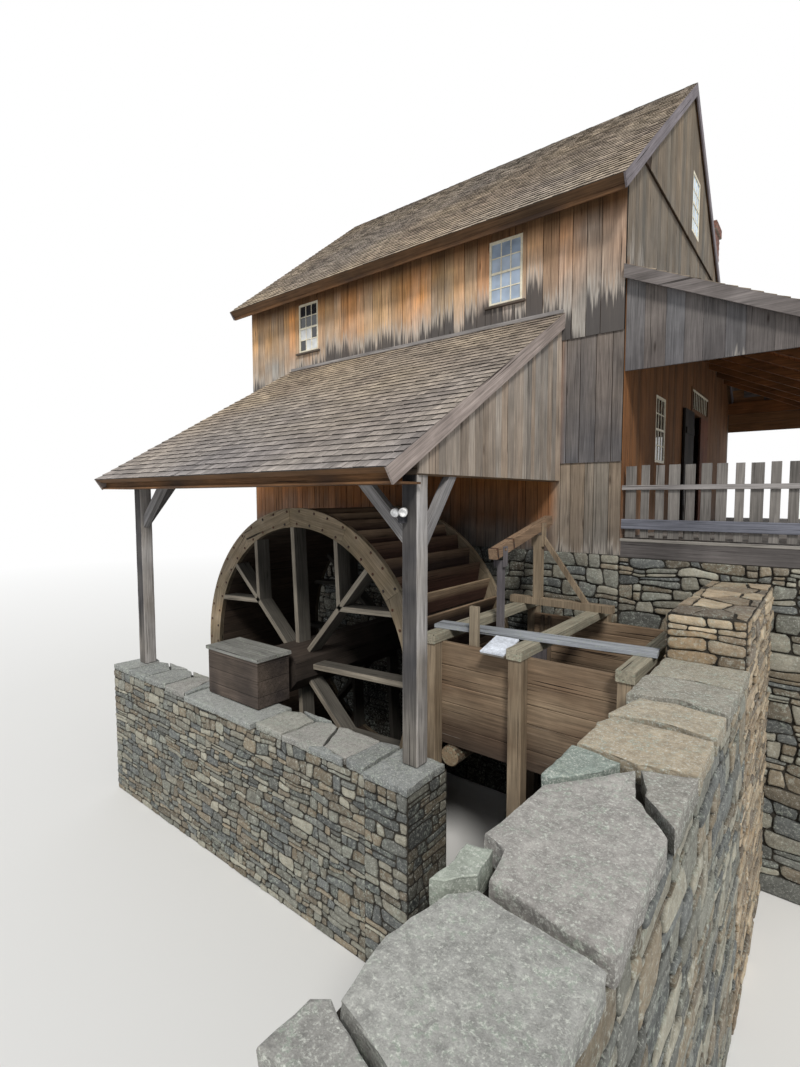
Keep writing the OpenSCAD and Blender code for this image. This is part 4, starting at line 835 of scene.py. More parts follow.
# for each face: its corner, direction, outward side, length, height, stone size, tint and how far the stones stand out
for name, faces in (
        ("long_foundation_stones", (
            ((-MILL_LEN, 0), X, -Y, MILL_LEN, SILL_Z, (0.34, 0.17), behind_wheel_tint, STANDARD, 0.007, at_bearing),)),
        ("outer_foundation_stones", (
            ((-MILL_LEN, 0), Y, -X, MILL_DEPTH, SILL_Z, (0.4, 0.2), rubble_tint),
            ((-MILL_LEN, MILL_DEPTH), X, Y, MILL_LEN, SILL_Z, (0.4, 0.2), rubble_tint))),
        ("porch_foundation_stones", (
            ((0, 0), X, -Y, PORCH_W, PORCH_BASE_Z, (0.32, 0.16), rubble_tint, (0.01, 0.045)),
            ((PORCH_W, 0), Y, X, MILL_DEPTH, PORCH_BASE_Z, (0.4, 0.2), rubble_tint),
            ((0, MILL_DEPTH), X, Y, PORCH_W, PORCH_BASE_Z, (0.4, 0.2), rubble_tint))),
        ("pit_wall_stones", (
            ((PIT_X0, PIT_Y0), X, -Y, 5.705, PIT_WALL_Z, (0.21, 0.115), rubble_tint, LOW),
            ((PIT_STEP_X, PIT_STEP_Y), X, -Y, 0.565, PIT_WALL_Z, (0.24, 0.13), rubble_tint, LOW),
            ((PIT_X1, PIT_STEP_Y), Y, X, 0.673, PIT_WALL_Z, (0.24, 0.12), damp_and_shaded_tint, FLUSH),
            ((PIT_X0, PIT_Y0), Y, -X, 0.628, PIT_WALL_Z, (0.24, 0.12), rubble_tint, FLUSH),
            ((PIT_X0, PIT_Y1), X, Y, 6.27, PIT_WALL_Z, (0.3, 0.15), damp_and_shaded_tint, FLUSH))),
        ("bank_wall_stones", (
            ((BANK_X0, BANK_Y0), Y, -X, BANK_L, BANK_Z0, (0.3, 0.13), damp_and_shaded_tint, (0.006, 0.02)),
            ((BANK_X1, BANK_Y0), Y, X, BANK_L, BANK_Z0, (0.3, 0.15), rubble_tint, ROUGH),
            ((BANK_X0, BANK_Y0), X, -Y, BANK_W, BANK_Z0, (0.28, 0.14), rubble_tint, ROUGH))),
        ("bank_pier_stones", (
            ((BANK_X0, PIER_Y0), Y, -X, PIER_L, PIER_Z, (0.3, 0.085), pier_tint, PIERS, 0.005),
            ((BANK_X1, PIER_Y0), Y, X, PIER_L, PIER_Z, (0.3, 0.085), pier_tint, PIERS, 0.005),
            ((BANK_X0, PIER_Y0), X, -Y, BANK_W, PIER_Z, (0.3, 0.085), pier_tint, PIERS, 0.005)))):
    kit = Kit()
    for face in faces:
        kit.stones(*face)
    kit.make(name, "fieldstone", ROCK)

kit = Kit()
outlines = cells(-7.03, -3.915, 2.264, 0.641, 0.56, 0.9)
outlines += [[(-4.76, -3.96), (-3.19, -3.96), (-3.19, -3.274), (-4.76, -3.274)]]
outlines += cells(-3.184, -3.915, 1.838, 0.641, 0.62, 0.9)
outlines += [[(-1.34, -3.96), (-0.74, -3.96), (-0.74, -3.274), (-1.34, -3.274)]]
kit.slabs(outlines, PIT_WALL_Z, PIT_Z, slab_tint)
kit.make("pit_cap_slabs", "cap_stone", SLAB, ["pit_caps"])

# the slabs on the bank, each with its colour and its own outline, from the near end to the pier
BANK = (
    ((144, 143, 139), [(1.14, -7.09), (1.46, -7.09), (1.47, -6.93), (1.2, -6.84), (1.14, -6.88)]),
    ((151, 151, 147), [(1.48, -7.09), (1.84, -7.09), (1.84, -6.2), (1.64, -6.18), (1.31, -6.15), (1.22, -6.24),
                       (1.15, -6.55), (1.21, -6.84), (1.47, -6.91)]),
    ((152, 158, 148), [(1.14, -6.27), (1.14, -5.96), (1.26, -5.92), (1.3, -6.12), (1.2, -6.24)]),
    ((150, 147, 143), [(1.15, -5.86), (1.19, -5.28), (1.42, -4.99), (1.54, -4.82), (1.62, -5.1), (1.84, -5.36),
                       (1.84, -6.17), (1.66, -6.16), (1.32, -6.1), (1.28, -5.91)]),
    ((134, 144, 137), [(1.14, -5.22), (1.14, -4.74), (1.46, -4.8), (1.4, -5.0), (1.2, -5.24)]),
    ((142, 139, 133), [(1.55, -4.8), (1.84, -4.7), (1.84, -5.32), (1.64, -5.08)]),
    ((166, 154, 134), [(1.14, -4.7), (1.14, -4.3), (1.2, -4.12), (1.84, -4.15), (1.84, -4.67), (1.53, -4.76)]),
    ((160, 150, 132), [(1.14, -4.1), (1.24, -3.66), (1.5, -3.62), (1.84, -3.68), (1.84, -4.1), (1.5, -4.06)]),
    ((142, 138, 128), [(1.14, -3.66), (1.14, -3.1), (1.5, -3.02), (1.84, -3.08), (1.84, -3.64), (1.5, -3.58)]),
    ((150, 144, 130), [(1.14, -3.06), (1.14, -2.404), (1.84, -2.404), (1.84, -3.04), (1.5, -2.98)]))
kit = Kit()
for hue, outline in BANK:
    kit.slabs([outline], BANK_Z0, BANK_Z1, lambda _, c=rgb(*hue): shade(c, rng.uniform(0.95, 1.03)), 0.006)
kit.make("bank_cap_slabs", "cap_stone", SLAB, ["bank_slabs"])
kit = Kit()
kit.slabs(cells(BANK_X0, PIER_Y0, BANK_W, 2.398, 0.36, 0.42), 3.84, 3.875, pier_tint)
kit.make("pier_top_stones", "fieldstone", ROCK)

# ---------------------------------------------------------------- the chimney
kit = Kit()
rng.seed(31)
BRICK_L, BRICK_H, MORTAR = 0.205, 0.06, 0.011
z, start = 8.2, 0.0
while z < CHIM_Z - BRICK_H / 2:
    grow = CHIM_OUT if z > CHIM_Z - CHIM_CAP_H else 0.0
    x0, x1, y0, y1 = CHIM_X0 - grow, CHIM_X1 + grow, CHIM_Y0 - grow, CHIM_Y0 + CHIM_W + grow
    for o, u, n, w in (((x0, y0, 0), X, -Y, x1 - x0), ((x1, y0, 0), Y, X, y1 - y0),
                       ((x0, y1, 0), X, Y, x1 - x0), ((x0, y0, 0), Y, -X, y1 - y0)):
        at = start
        while at < w:
            a, b = max(at, 0.0), min(at + BRICK_L, w)
            if b - a > 0.03:
                c = shade(mix(rgb(132, 92, 80), rgb(112, 82, 74), rng.random()), rng.uniform(0.75, 1.15))
                out = 0.006 + rng.uniform(-0.001, 0.002)
                kit.prism(o, u, Z, n, a, b, z, min(z + BRICK_H, CHIM_Z), 0.0, out, one(c), 1.0)
            at += BRICK_L + MORTAR
    z += BRICK_H + MORTAR
    start = 0.0 if start else -BRICK_L / 2
kit.make("chimney_bricks", "brick", BRICK)


# ---------------------------------------------------------------- timbers of the shed
def post_tint(p):
    # the front face is dark, wet and in painted shade, with pale worn patches; the back, towards the wall, is darkened
    # by painted shade too
    wet_and_shaded = rgb(52, 52, 56)
    c = mix(rgb(192, 189, 188), rgb(150, 142, 132), bumps(*p, 0.6, 3.0))
    if p.y < POST_Y0 + 0.004:
        return mix(wet_and_shaded, rgb(140, 134, 126), 0.75 * max(0.0, 0.7 - abs(p.z - 2.4)) + 0.25 * bumps(*p, 0.25, 6.0))
    return mix(c, wet_and_shaded, 0.4) if p.y > -3.42 else c


def knee(kit, o, along, across, run):
    """A knee brace: a slanting board from the post up to the plate, its ends cut plumb and level."""
    drop, deep, thick, soft, steps = 0.72, 0.19, 0.1, 0.006, 5
    low, reach = PLATE_Z0 - drop, run - deep * run / drop
    shift = rng.uniform(0, 40)
    points, grain, tints = [], [], []
    for k in range(steps + 1):
        t = k / steps
        under = run * t, low + (PLATE_Z0 - low) * t, 0.0
        over = reach * t, low + deep + (PLATE_Z0 - (low + deep)) * t, deep
        for (x, z, d), b in ((under, soft), (under, thick - soft), (over, thick - soft), (over, soft)):
            p = Vector(o) + along * x + Z * z + across * b
            points.append(tuple(p))
            grain.append((b + shift, d + shift, t * math.hypot(run, drop) + shift))
            tints.append(brace_grey(p))
    ends = [(0, 1, 2, 3), tuple(range(4 * steps + 3, 4 * steps - 1, -1))]
    kit.add(points, ends + [(b, a, d, c) for a, b, c, d in quads(steps + 1, 4)], tints, grain)


rng.seed(47)
brace_grey = varied(rgb(132, 130, 130))
kit = Kit()
for x in POST_X:
    kit.beam((x, POST_Y0, PIT_Z), (x + POST_W, POST_Y1, PLATE_Z0), post_tint, "z", 0.12, 0.009)
kit.make("shed_post_timbers", "grey_timber", TIMBER, ["shed_posts"])

kit = Kit()
kit.beam((POST_X[0], POST_Y0, PLATE_Z0), (PLATE_X1, POST_Y1, PLATE_Z1), varied(rgb(112, 100, 88)))
for x in TIE_X:
    kit.beam((x, POST_Y1, PLATE_Z0), (x + TIE_W, 0, PLATE_Z1), varied(rgb(118, 96, 74)), "y")
kit.make("shed_plate_timbers", "grey_timber", TIMBER, ["shed_plate", "shed_ties"])

kit = Kit()
for along, x in ((X, -6.578), (-X, -1.10)):
    knee(kit, (x, -3.538, 0), along, Y, 0.735)
for x in TIE_X:
    knee(kit, (x, POST_Y1, 0), Y, X, 0.545)
kit.make("shed_brace_timbers", "grey_timber", TIMBER, ["shed_braces"])


# ---------------------------------------------------------------- the porch fence, posts and deck
def fence_grey(p):
    return mix(rgb(158, 154, 152), rgb(122, 118, 118), bumps(*p, 0.3, 8.0))


PORCH_POST_X, PORCH_POST_W = 2.55, 0.15
kit = Kit()
kit.beam((0.0, 0.003, 5.03), (PORCH_POST_X, 0.038, 5.095), fence_grey)
kit.beam((0.0, 0.003, 4.485), (PORCH_POST_X, 0.038, 4.625), varied(rgb(112, 114, 124)))
for i in range(13):
    w = rng.choice((0.098, 0.106, 0.12, 0.138))
    x = 0.06 + i * 0.185 + (0.118 - w) / 2 + rng.uniform(-0.008, 0.008)
    c = shade(rgb(120, 116, 112), rng.uniform(0.78, 1.15))
    top = 5.37 - rng.uniform(0, 0.014)
    kit.beam((x, 0.038, FLOOR_Z + 0.02), (x + w, 0.06, top), varied(c), "z", 0.25, 0.003, 0.001)
kit.make("porch_picket_fence", "grey_timber", TIMBER, ["porch_fence"])

kit = Kit()
for k in range(4):
    y = 0.025 + k * (MILL_DEPTH - 0.05 - PORCH_POST_W) / 3
    kit.beam((PORCH_POST_X, y, FLOOR_Z), (PORCH_W, y + PORCH_POST_W, 6.5), varied(rgb(128, 106, 80)), "z")
kit.make("porch_post_timbers", "brown_timber", TIMBER, ["porch_posts"])

kit = Kit()
kit.beam((0.002, -0.01, FLOOR_Z - 0.04), (PORCH_W, 0.02, FLOOR_Z + 0.001), varied(rgb(140, 136, 130)), "x", 0.3,
         0.004, 0.001)
kit.beam((0.002, -0.004, 4.09), (PORCH_W, 0.01, FLOOR_Z - 0.042), varied(rgb(92, 88, 87), 0.3, 0.9), "x", 0.3,
         0.003, 0.001)
kit.make("porch_deck_front", "grey_timber", TIMBER)


# ---------------------------------------------------------------- the water wheel
def spoke(angle):
    """Directions along and across a spoke of the wheel as it stands. Angles grow downwards from +X."""
    a = math.radians(angle + WHEEL_TURN)
    return Vector((math.cos(a), 0, -math.sin(a))), Vector((math.sin(a), 0, math.cos(a)))


def rim_tint(p):
    c = mix(rgb(136, 118, 94), rgb(102, 92, 72), bumps(*p, 0.5, 2.0))
    c = mix(c, rgb(158, 146, 130), 0.5 * bumps(*p, 0.2, 6.0))
    # the inner face of the rim, towards the axle, is painted in shade
    inner = math.hypot(p.x - WHEEL_X, p.z - WHEEL_Z) < RIM_RI + 0.002
    return (*shade(c, 0.4 if inner else 1.0), 0.1)


def arm_tint(p):
    """Pale on the face that looks out; the sides and the far ring are darker, with painted shade and wet timber."""
    c = mix(rgb(152, 144, 130), rgb(112, 104, 94), bumps(*p, 0.4, 4.0))
    return c if p.y < RIM_Y0 + 0.004 else shade(mix(c, rgb(70, 70, 68), 0.7), 0.5 if p.y > -1.0 else 0.8)


def arm(kit, angle, start, side, w, y):
    """A straight board from the start out to the rim, that far to the side of the spoke."""
    v, u = spoke(angle)
    kit.prism(HUB, u, v, Y, side - w / 2, side + w / 2, start, lambda q: math.sqrt(RIM_RI ** 2 - q ** 2), y, y + ARM_D,
              arm_tint, 0.3, 0.005)


rng.seed(59)
HUB = Vector((WHEEL_X, 0, WHEEL_Z))
QUARTERS = (0, 90, 180, 270)
kit = Kit()
for y0 in (RIM_Y0, RIM_Y1 - RIM_T):
    y1, soft, steps = y0 + RIM_T, 0.004, 10
    for s in range(SEGMENTS):
        a0 = math.radians(s * 360 / SEGMENTS + WHEEL_TURN + 7) + 0.0008
        a1 = math.radians((s + 1) * 360 / SEGMENTS + WHEEL_TURN + 7) - 0.0008
        tone = rng.uniform(0.86, 1.12)
        shift = rng.uniform(0, 40)
        points, grain, tints = [], [], []
        for k in range(steps + 1):
            a = a0 + (a1 - a0) * k / steps
            turn = a - (a0 + a1) / 2
            for r, y in ((RIM_RI, y0 + soft), (RIM_RI + soft, y0), (WHEEL_R - soft, y0), (WHEEL_R, y0 + soft),
                         (WHEEL_R, y1 - soft), (WHEEL_R - soft, y1), (RIM_RI + soft, y1), (RIM_RI, y1 - soft)):
                p = HUB + Vector((math.cos(a), 0, math.sin(a))) * r + Vector((0, y, 0))
                points.append(tuple(p))
                grain.append((math.cos(turn) * r + shift, y + shift, math.sin(turn) * r + shift))
                tints.append(shade(rim_tint(p), tone))
        ends = [tuple(range(8)), tuple(range(8 * steps + 7, 8 * steps - 1, -1))]
        kit.add(points, ends + [(a, d, c, b) for a, b, c, d in quads(steps + 1, 8)], tints, grain)
kit.make("wheel_rim_segments", "wheel_timber", TIMBER, ["wheel_rims"], "wheel")

kit = Kit()
for y in (RIM_Y0, RIM_Y1 - ARM_D):
    for a in QUARTERS:
        arm(kit, a, AXLE_HALF, 0, 0.08, y)
kit.make("wheel_arm_timbers", "wheel_timber", TIMBER, ["wheel_arms"], "wheel")

kit = Kit()
for y in (RIM_Y0, RIM_Y1 - ARM_D):
    for a in QUARTERS:
        arm(kit, a + 45, AXLE_HALF, 0, 0.075, y)
    for a in QUARTERS:
        for side in (STRUT, -STRUT):
            arm(kit, a, STRUT, side, 0.075, y)
kit.make("wheel_fork_timbers", "wheel_timber", TIMBER, ["wheel_forks"], "wheel")

INSIDE_Y = RIM_Y0 + RIM_T, RIM_Y1 - RIM_T
kit = Kit()
for i in range(BUCKETS):
    d, t = spoke(i * 360 / BUCKETS)
    o = HUB + d * (RIM_RI + SOLE_T + BUCKET_T / 2 * math.sin(LEAN) - 0.0002)
    out, face = d * math.cos(LEAN) + t * math.sin(LEAN), t * math.cos(LEAN) - d * math.sin(LEAN)
    # dark boards, their darkness partly painted shade inside the wheel, with a pale outer edge
    c = mix(rgb(76, 52, 42), rgb(56, 46, 42), rng.random())
    edge = mix(rgb(170, 148, 122), rgb(96, 74, 60), rng.random())

    def bucket_tint(p, o=o, out=out, c=c, edge=edge):
        return mix(c, edge, ((p - o).dot(out) - (BUCKET_L - 0.012)) / 0.006)

    for lo, hi in ((0.0, BUCKET_L / 2), (BUCKET_L / 2 + 0.0015, BUCKET_L)):
        kit.prism(o, out, Y, face, lo, hi, *INSIDE_Y, -BUCKET_T / 2, BUCKET_T / 2, bucket_tint, 0.5)
kit.make("wheel_bucket_boards", "wheel_timber", TIMBER, ["wheel_buckets"], "wheel")

kit = Kit()
for i in range(STAVES):
    a = math.radians((i + 0.5) * 360 / STAVES + WHEEL_TURN)
    d, t = Vector((math.cos(a), 0, math.sin(a))), Vector((-math.sin(a), 0, math.cos(a)))
    half = (RIM_RI + 0.001) * math.tan(math.pi / STAVES) - 0.0012
    c = shade(rgb(60, 50, 42), rng.uniform(0.7, 1.15))
    kit.prism(HUB + d * (RIM_RI + 0.001), t, Y, d, -half, half, *INSIDE_Y, 0.0, SOLE_T - 0.003, one(c), 0.8, 0.002)
kit.make("wheel_sole_staves", "wheel_timber", TIMBER, ["wheel_sole"], "wheel")

kit = Kit()
for y, n in ((RIM_Y0, -Y), (RIM_Y1, Y)):
    for i in range(BUCKETS):
        a = math.radians((i + 0.5) * 360 / BUCKETS + WHEEL_TURN)
        for r, off in ((RIM_RI + 0.05, -0.012), (WHEEL_R - 0.05, 0.012 + 0.01 * (i % 2))):
            p = HUB + Vector((math.cos(a + off), 0, -math.sin(a + off))) * r + Vector((0, y, 0))
            kit.stud(p, n, 0.013, 0.012, rgb(40, 34, 32))
kit.make("wheel_bolts", "wheel_timber", IRON, body="wheel")


# ---------------------------------------------------------------- flume timbers
def flume_tint(p):
    c = mix(rgb(108, 88, 70), rgb(148, 130, 108), bumps(p.x * 0.25, p.y, p.z, 0.16, 12.0))
    return (*mix(c, rgb(56, 46, 40), 1.1 - (p.z - 2.0) / 0.7), 0.12)


def frame_tint(p):
    c = mix(rgb(146, 132, 112), rgb(112, 96, 78), bumps(*p, 0.3, 2.0))
    return mix(c, rgb(60, 52, 46), 1 - p.z / 2.2)


rng.seed(71)
kit = Kit()
for y, top in ((FLUME_Y0 - PLANK_T, FLUME_Z1), (FLUME_Y1, FLUME_Z1 - 0.09)):
    z = FLUME_Z0
    while z < top - 0.02:
        h = rng.uniform(0.2, 0.27)
        if top - z - h < 0.12:
            h = top - z
        tone = rng.uniform(0.72, 1.15)
        kit.beam((FLUME_X0, y, z + 0.0025), (FLUME_X1, y + PLANK_T, z + h - 0.0025),
                 lambda p, t=tone: shade(flume_tint(p), t), "x", 0.2, wobble=0.0)
        z += h
for i in range(8):
    w = 2.415 / 8
    y = FLUME_Y0 + i * w
    kit.beam((FLUME_X0, y + 0.002, FLUME_Z0), (FLUME_X1, y + w - 0.002, FLUME_Z0 + PLANK_T), varied(rgb(70, 58, 50)),
             "x", 0.5, 0.004, 0.0)
kit.make("flume_planks", "wet_timber", TIMBER, ["flume_walls"])

kit = Kit()
for x in FRAME_X:
    for y in (-3.0, -0.315):
        kit.beam((x + 0.01, y, 0), (x + 0.16, y + 0.15, FLUME_Z1), frame_tint, "z")
kit.beam((-0.773, FLUME_Y0, 2.9), (-0.665, -2.73, 3.73), varied(rgb(140, 128, 110)), "z")
kit.make("flume_post_timbers", "wet_timber", TIMBER, ["flume_posts"])

kit = Kit()
for x in FRAME_X:
    kit.beam((x, -3.02, FLUME_Z1), (x + 0.17, -0.165, BEAM_Z1), varied(rgb(142, 136, 120)), "y")
LOG_X, LOG_Z, LOG_R, LOG_SIDES = -0.96, 1.9967, 0.118, 20
points, grain, tints = [], [], []
for y, size, hue in ((-2.89, 0.0, (150, 132, 108)), (-2.89, 0.92, (142, 124, 102)), (-2.882, 1.0, (88, 74, 60)),
                     (-0.315, 1.0, (60, 52, 46)), (-0.315, 0.0, (60, 52, 46))):
    for k in range(LOG_SIDES):
        a = 2 * math.pi * k / LOG_SIDES
        r = LOG_R * size * (1 - 0.03 * bumps(math.cos(a), math.sin(a), y, 0.5, 3.0))
        points.append((LOG_X + r * math.cos(a), y, LOG_Z + r * math.sin(a)))
        grain.append((r * math.cos(a), r * math.sin(a), y))
        tints.append(rgb(*hue))
kit.add(points, quads(5, LOG_SIDES), tints, grain)
kit.make("flume_beam_timbers", "grey_timber", LICHENED, ["flume_beams"])

kit = Kit()
turn = Matrix.Rotation(math.radians(7), 3, "Z")
kit.prism((-1.268, -2.75, BEAM_Z1), turn @ Y, turn @ X, Z, 0, 0.235, 0.0, 2.38, 0, 0.045, varied(rgb(146, 150, 156)),
          0.2, 0.004)
kit.make("walk_plank_board", "grey_timber", LICHENED, ["walk_plank"])

# ---------------------------------------------------------------- smaller pieces
# sills under the two windows and the weather board at the head of the shed roof
kit = Kit()
for a, b, z, _ in FRONT_WINS:
    kit.beam((a - 0.06, -0.105, z - 0.042), (b + 0.06, -0.052, z - 0.004), varied(rgb(92, 82, 74)), "x", 0.2, 0.004,
             0.001)
kit.beam((SHED_X0 - 0.01, -0.082, SHED_TOP_Z - 0.012), (SHED_X1, -0.046, SHED_TOP_Z + 0.045),
         varied(rgb(136, 132, 130)), "x", 0.3, 0.004, 0.001)
kit.make("sills_and_head_board", "weathered_boards", TIMBER)

# the twin lamp on the right post: for each ring its place along the lamp, its radius and its grey
LAMP = ((-0.045, 0.018, 60), (-0.035, 0.034, 70), (0.01, 0.046, 200), (0.03, 0.046, 225), (0.034, 0.038, 235),
        (0.02, 0.03, 250), (0.018, 0.0, 250))
kit = Kit()
kit.beam((-1.112, -3.63, 4.68), (-1.03, POST_Y0, 4.76), one(rgb(54, 54, 58)), "z", 0.1, wobble=0.0)
for middle in (Vector((-1.135, -3.635, 4.79)), Vector((-1.02, -3.65, 4.795))):
    points, tints = [], []
    for z, r, grey in LAMP:
        points += circle(middle, Vector((0.25, -0.9, -0.35)).normalized(), r, z, 20)
        tints += [rgb(grey, grey, grey)] * 20
    kit.add(points, quads(len(LAMP), 20) + [tuple(range(19, -1, -1))], tints, smooth=True)
kit.make("post_lamps", "grey_timber", PAINTED)

# the bare notice board on the edge of the flume
kit = Kit()
tilt = Matrix.Rotation(math.radians(14), 3, "X")
for lo, hi, hue in ((0.0, 0.018, (206, 212, 222)), (-0.02, 0.0, (120, 116, 110))):
    kit.prism((-0.47, -3.07, 3.335), X, tilt @ Y, tilt @ Z, 0.0, 0.27, 0.0, 0.36, lo, hi, one(rgb(*hue)), 0.2)
kit.make("notice_board", "grey_timber", PAINTED)


def barge(x, z, way, slope, high, cut, eave, head, tint):
    """A board down a roof's edge, its grain along the slope and its foot cut back by that much at the bottom."""
    kit.prism((x, 0, z), -Z, way + Z * slope, X, 0, high, lambda d: cut * d / high - eave, head, 0, BARGE_T, tint, 0.3)


kit = Kit()
rng.seed(71)
dark, pale = varied(rgb(118, 112, 116)), varied(rgb(156, 144, 138))
for x in (RAKE_OUT, -MILL_LEN - RAKE_OUT - BARGE_T):
    barge(x, front_top(0), Y, SLOPE, 0.23, 0.1, EAVE_OUT, RIDGE_Y, dark)
    barge(x, rear_top(0), -Y, SLOPE, 0.23, 0.1, REAR_EAVE_Y, -RIDGE_Y, dark)
for x in (SHED_X1, SHED_X0 - BARGE_T):
    barge(x, shed_top(0), Y, SHED_SLOPE, 0.22, 0.105, -SHED_EAVE_Y, -2 * LAP - 0.012, pale)
kit.make("barge_timbers", "weathered_boards", TIMBER, ["barge_boards"])

# the windows, with thin bars and single panes, and the bars over the door
STILE, RAIL, MEET, BAR = 0.036, 0.042, 0.034, 0.017
cream = one(rgb(226, 220, 200))
frames, panes = Kit(), Kit()


def window(plane, u, n, opening, look):
    """Two sashes of two rows of three panes. look(column, row) gives the colour of a pane."""
    w, h, o = opening[1] - opening[0], opening[3] - opening[2], n * plane + u * opening[0] + Z * opening[2]

    def strip(kit, a, b, low, high, back, front, tint=cream):
        kit.prism(o, u, Z, n, a, b, low, high, back, front, tint, 1.0, 0.002)

    for a, b, low, high in ((0, STILE, 0, h), (w - STILE, w, 0, h),
                            (STILE, w - STILE, 0, RAIL), (STILE, w - STILE, h - RAIL, h)):
        strip(frames, a, b, low, high, -0.03, 0.004)
    strip(frames, STILE, w - STILE, (h - MEET) / 2, (h + MEET) / 2, -0.028, 0.001)
    step = (w - 2 * STILE) / 3
    for s, (low, high) in enumerate(((RAIL, (h - MEET) / 2), ((h + MEET) / 2, h - RAIL))):
        half = (low + high) / 2
        for k in (1, 2):
            strip(frames, STILE + k * step - BAR / 2, STILE + k * step + BAR / 2, low, high, -0.02, -0.004)
        strip(frames, STILE, w - STILE, half - BAR / 2, half + BAR / 2, -0.02, -0.005)
        for k in range(3):
            for r, (z0, z1) in enumerate(((low, half), (half, high))):
                strip(panes, STILE + k * step, STILE + (k + 1) * step, z0, z1, -0.018, -0.013, one(look(k, 2 * s + r)))


def boarded_up(column, row):
    """Dark panes above and pale ones below, two of them broken. The dark ones are painted shade, the dark room behind
    the glass.
    """
    return rgb(44, 46, 50) if row > 1 or (column, row) in ((0, 0), (2, 1)) else rgb(204, 206, 206)


# the pane colours are painted: the pale blues a painted reflection of the sky, near black the painted shade of a dark
# room, and shadowed a painted shade for the windows on the far sides
shadowed = one(rgb(96, 112, 126))
for front, rear, look in zip(FRONT_WINS, REAR_WINS, (one(rgb(150, 166, 186)), boarded_up)):
    window(2 * LAP + 0.01, X, -Y, front, look)
    window(MILL_DEPTH + 0.01, X, Y, rear, shadowed)
window(JETTY_OUT + 0.01, Y, X, GABLE_WIN, one(rgb(176, 204, 232)))
window(0.01, Y, X, PORCH_WIN, one(rgb(40, 40, 40)))
window(MILL_LEN + JETTY_OUT + 0.01, Y, -X, GABLE_WIN, shadowed)
window(MILL_LEN + 0.01, Y, -X, PORCH_WIN, shadowed)
frames.make("window_sashes", "cream_paint", CREAM, ["sashes"])
panes.make("window_panes", "window_glass", GLASS, ["glass"])

kit = Kit()
for i in range(8):
    y = 4.545 + (i + 1) * 1.695 / 9
    kit.beam((0.016, y - 0.017, 6.728), (0.025, y + 0.017, 7.1), cream, "z", 0.4, 0.002, 0.0)
kit.beam((0.016, 4.545, 7.078), (0.028, 6.24, 7.118), cream, "y", 0.4, 0.002, 0.0)
kit.make("transom_slats", "cream_paint", CREAM, ["transom_bars"])

kit = Kit()
for i, tone in enumerate((1.0, 0.86, 1.06)):
    y = i * 0.192
    kit.beam((-4.601, -3.671 + y, 2.784), (-3.424, -3.481 + y + 0.0005 * i, 2.831),
             varied(shade(rgb(128, 128, 124), tone)), "x", 0.2, 0.004, 0.001)
kit.make("box_lid_boards", "wheel_timber", LICHENED)

# iron bands round the end of the lever that carries the gate
kit = Kit()
lever = Matrix.Rotation(math.radians(12.3), 3, "X")
for y in (-1.33, -0.9):
    o = Vector((-0.9, -0.7, 4.528)) + lever @ Vector((0, y, 0))
    kit.prism(o, X, lever @ Y, lever @ Z, -0.058, 0.058, -0.018, 0.018, -0.068, 0.068, one(rgb(60, 50, 44)), 0.1, 0.002)
kit.make("lever_bands", "brown_timber", IRON, body="lever")

# ---------------------------------------------------------------- CAD nodes that keep their own shape
# for each wood: nodes, name, two colours, the axis of its grain, and the axis across its boards with their width
WOODS = (
    # the walls behind the boards are dark: painted shade in the gaps between the boards and inside the mill
    ("front_wall rear_wall", "wall_frame", (70, 56, 44), (52, 42, 34), "z", ("x", 0.22)),
    ("gable_near gable_over gable_far gable_upper left_gable", "wall_frame_side", (72, 54, 40), (52, 42, 34), "z",
     ("y", 0.22)),
    ("floors", "floor_boards", (122, 90, 58), (98, 74, 50), "x", ("y", 0.2)),
    ("roof_front", "roof_front_deck", (118, 88, 62), (92, 72, 54), "x", ("y", 0.2)),
    ("roof_rear", "roof_rear_deck", (118, 88, 62), (92, 72, 54), "x", ("y", 0.2)),
    ("shed_roof", "shed_roof_deck", (118, 88, 62), (92, 72, 54), "x", ("y", 0.2)),
    ("porch_roof", "porch_deck_boards", (150, 92, 48), (110, 66, 38), "y", ("x", 0.22)),
    ("eave_fascia", "fascia", (122, 88, 58), (70, 54, 44), "x", None),
    ("door_frame", "frame_wood", (112, 78, 50), (84, 60, 42), "z", None),
    # the near leaf is near black: painted shade in the deep doorway behind the porch
    ("door_near", "near_leaf_wood", (46, 40, 36), (30, 26, 24), "z", ("y", 0.2)),
    ("door_far", "far_leaf_wood", (118, 70, 46), (92, 54, 38), "z", ("y", 0.2)),
    ("porch_deck", "deck_wood", (126, 122, 118), (96, 92, 88), "x", ("y", 0.14)),
    ("porch_boarding", "porch_barge", (120, 114, 112), (92, 86, 84), "x", None),
    ("porch_plate", "porch_plate_wood", (156, 102, 56), (124, 80, 46), "y", None),
    ("porch_rafters", "porch_rafter_wood", (140, 92, 54), (104, 70, 44), "x", None),
    ("shed_rafters", "shed_rafter_wood", (122, 94, 66), (92, 72, 54), "y", None),
    ("wheel_axle", "axle_wood", (62, 54, 48), (42, 38, 36), "y", None),
    ("bearing_box", "box_wood", (104, 92, 82), (56, 50, 48), "x", ("z", 0.21)),
    ("bearings", "bearing_wood", (74, 66, 58), (48, 44, 40), "x", None),
    ("gate_guides", "guide_wood", (120, 104, 86), (86, 74, 62), "z", None),
    ("gate_post", "gate_post_wood", (146, 132, 112), (118, 102, 84), "z", None),
    ("gate_lever", "lever_wood", (146, 122, 100), (112, 92, 74), "y", None),
    ("gate", "gate_wood", (116, 112, 114), (84, 80, 84), "z", None))
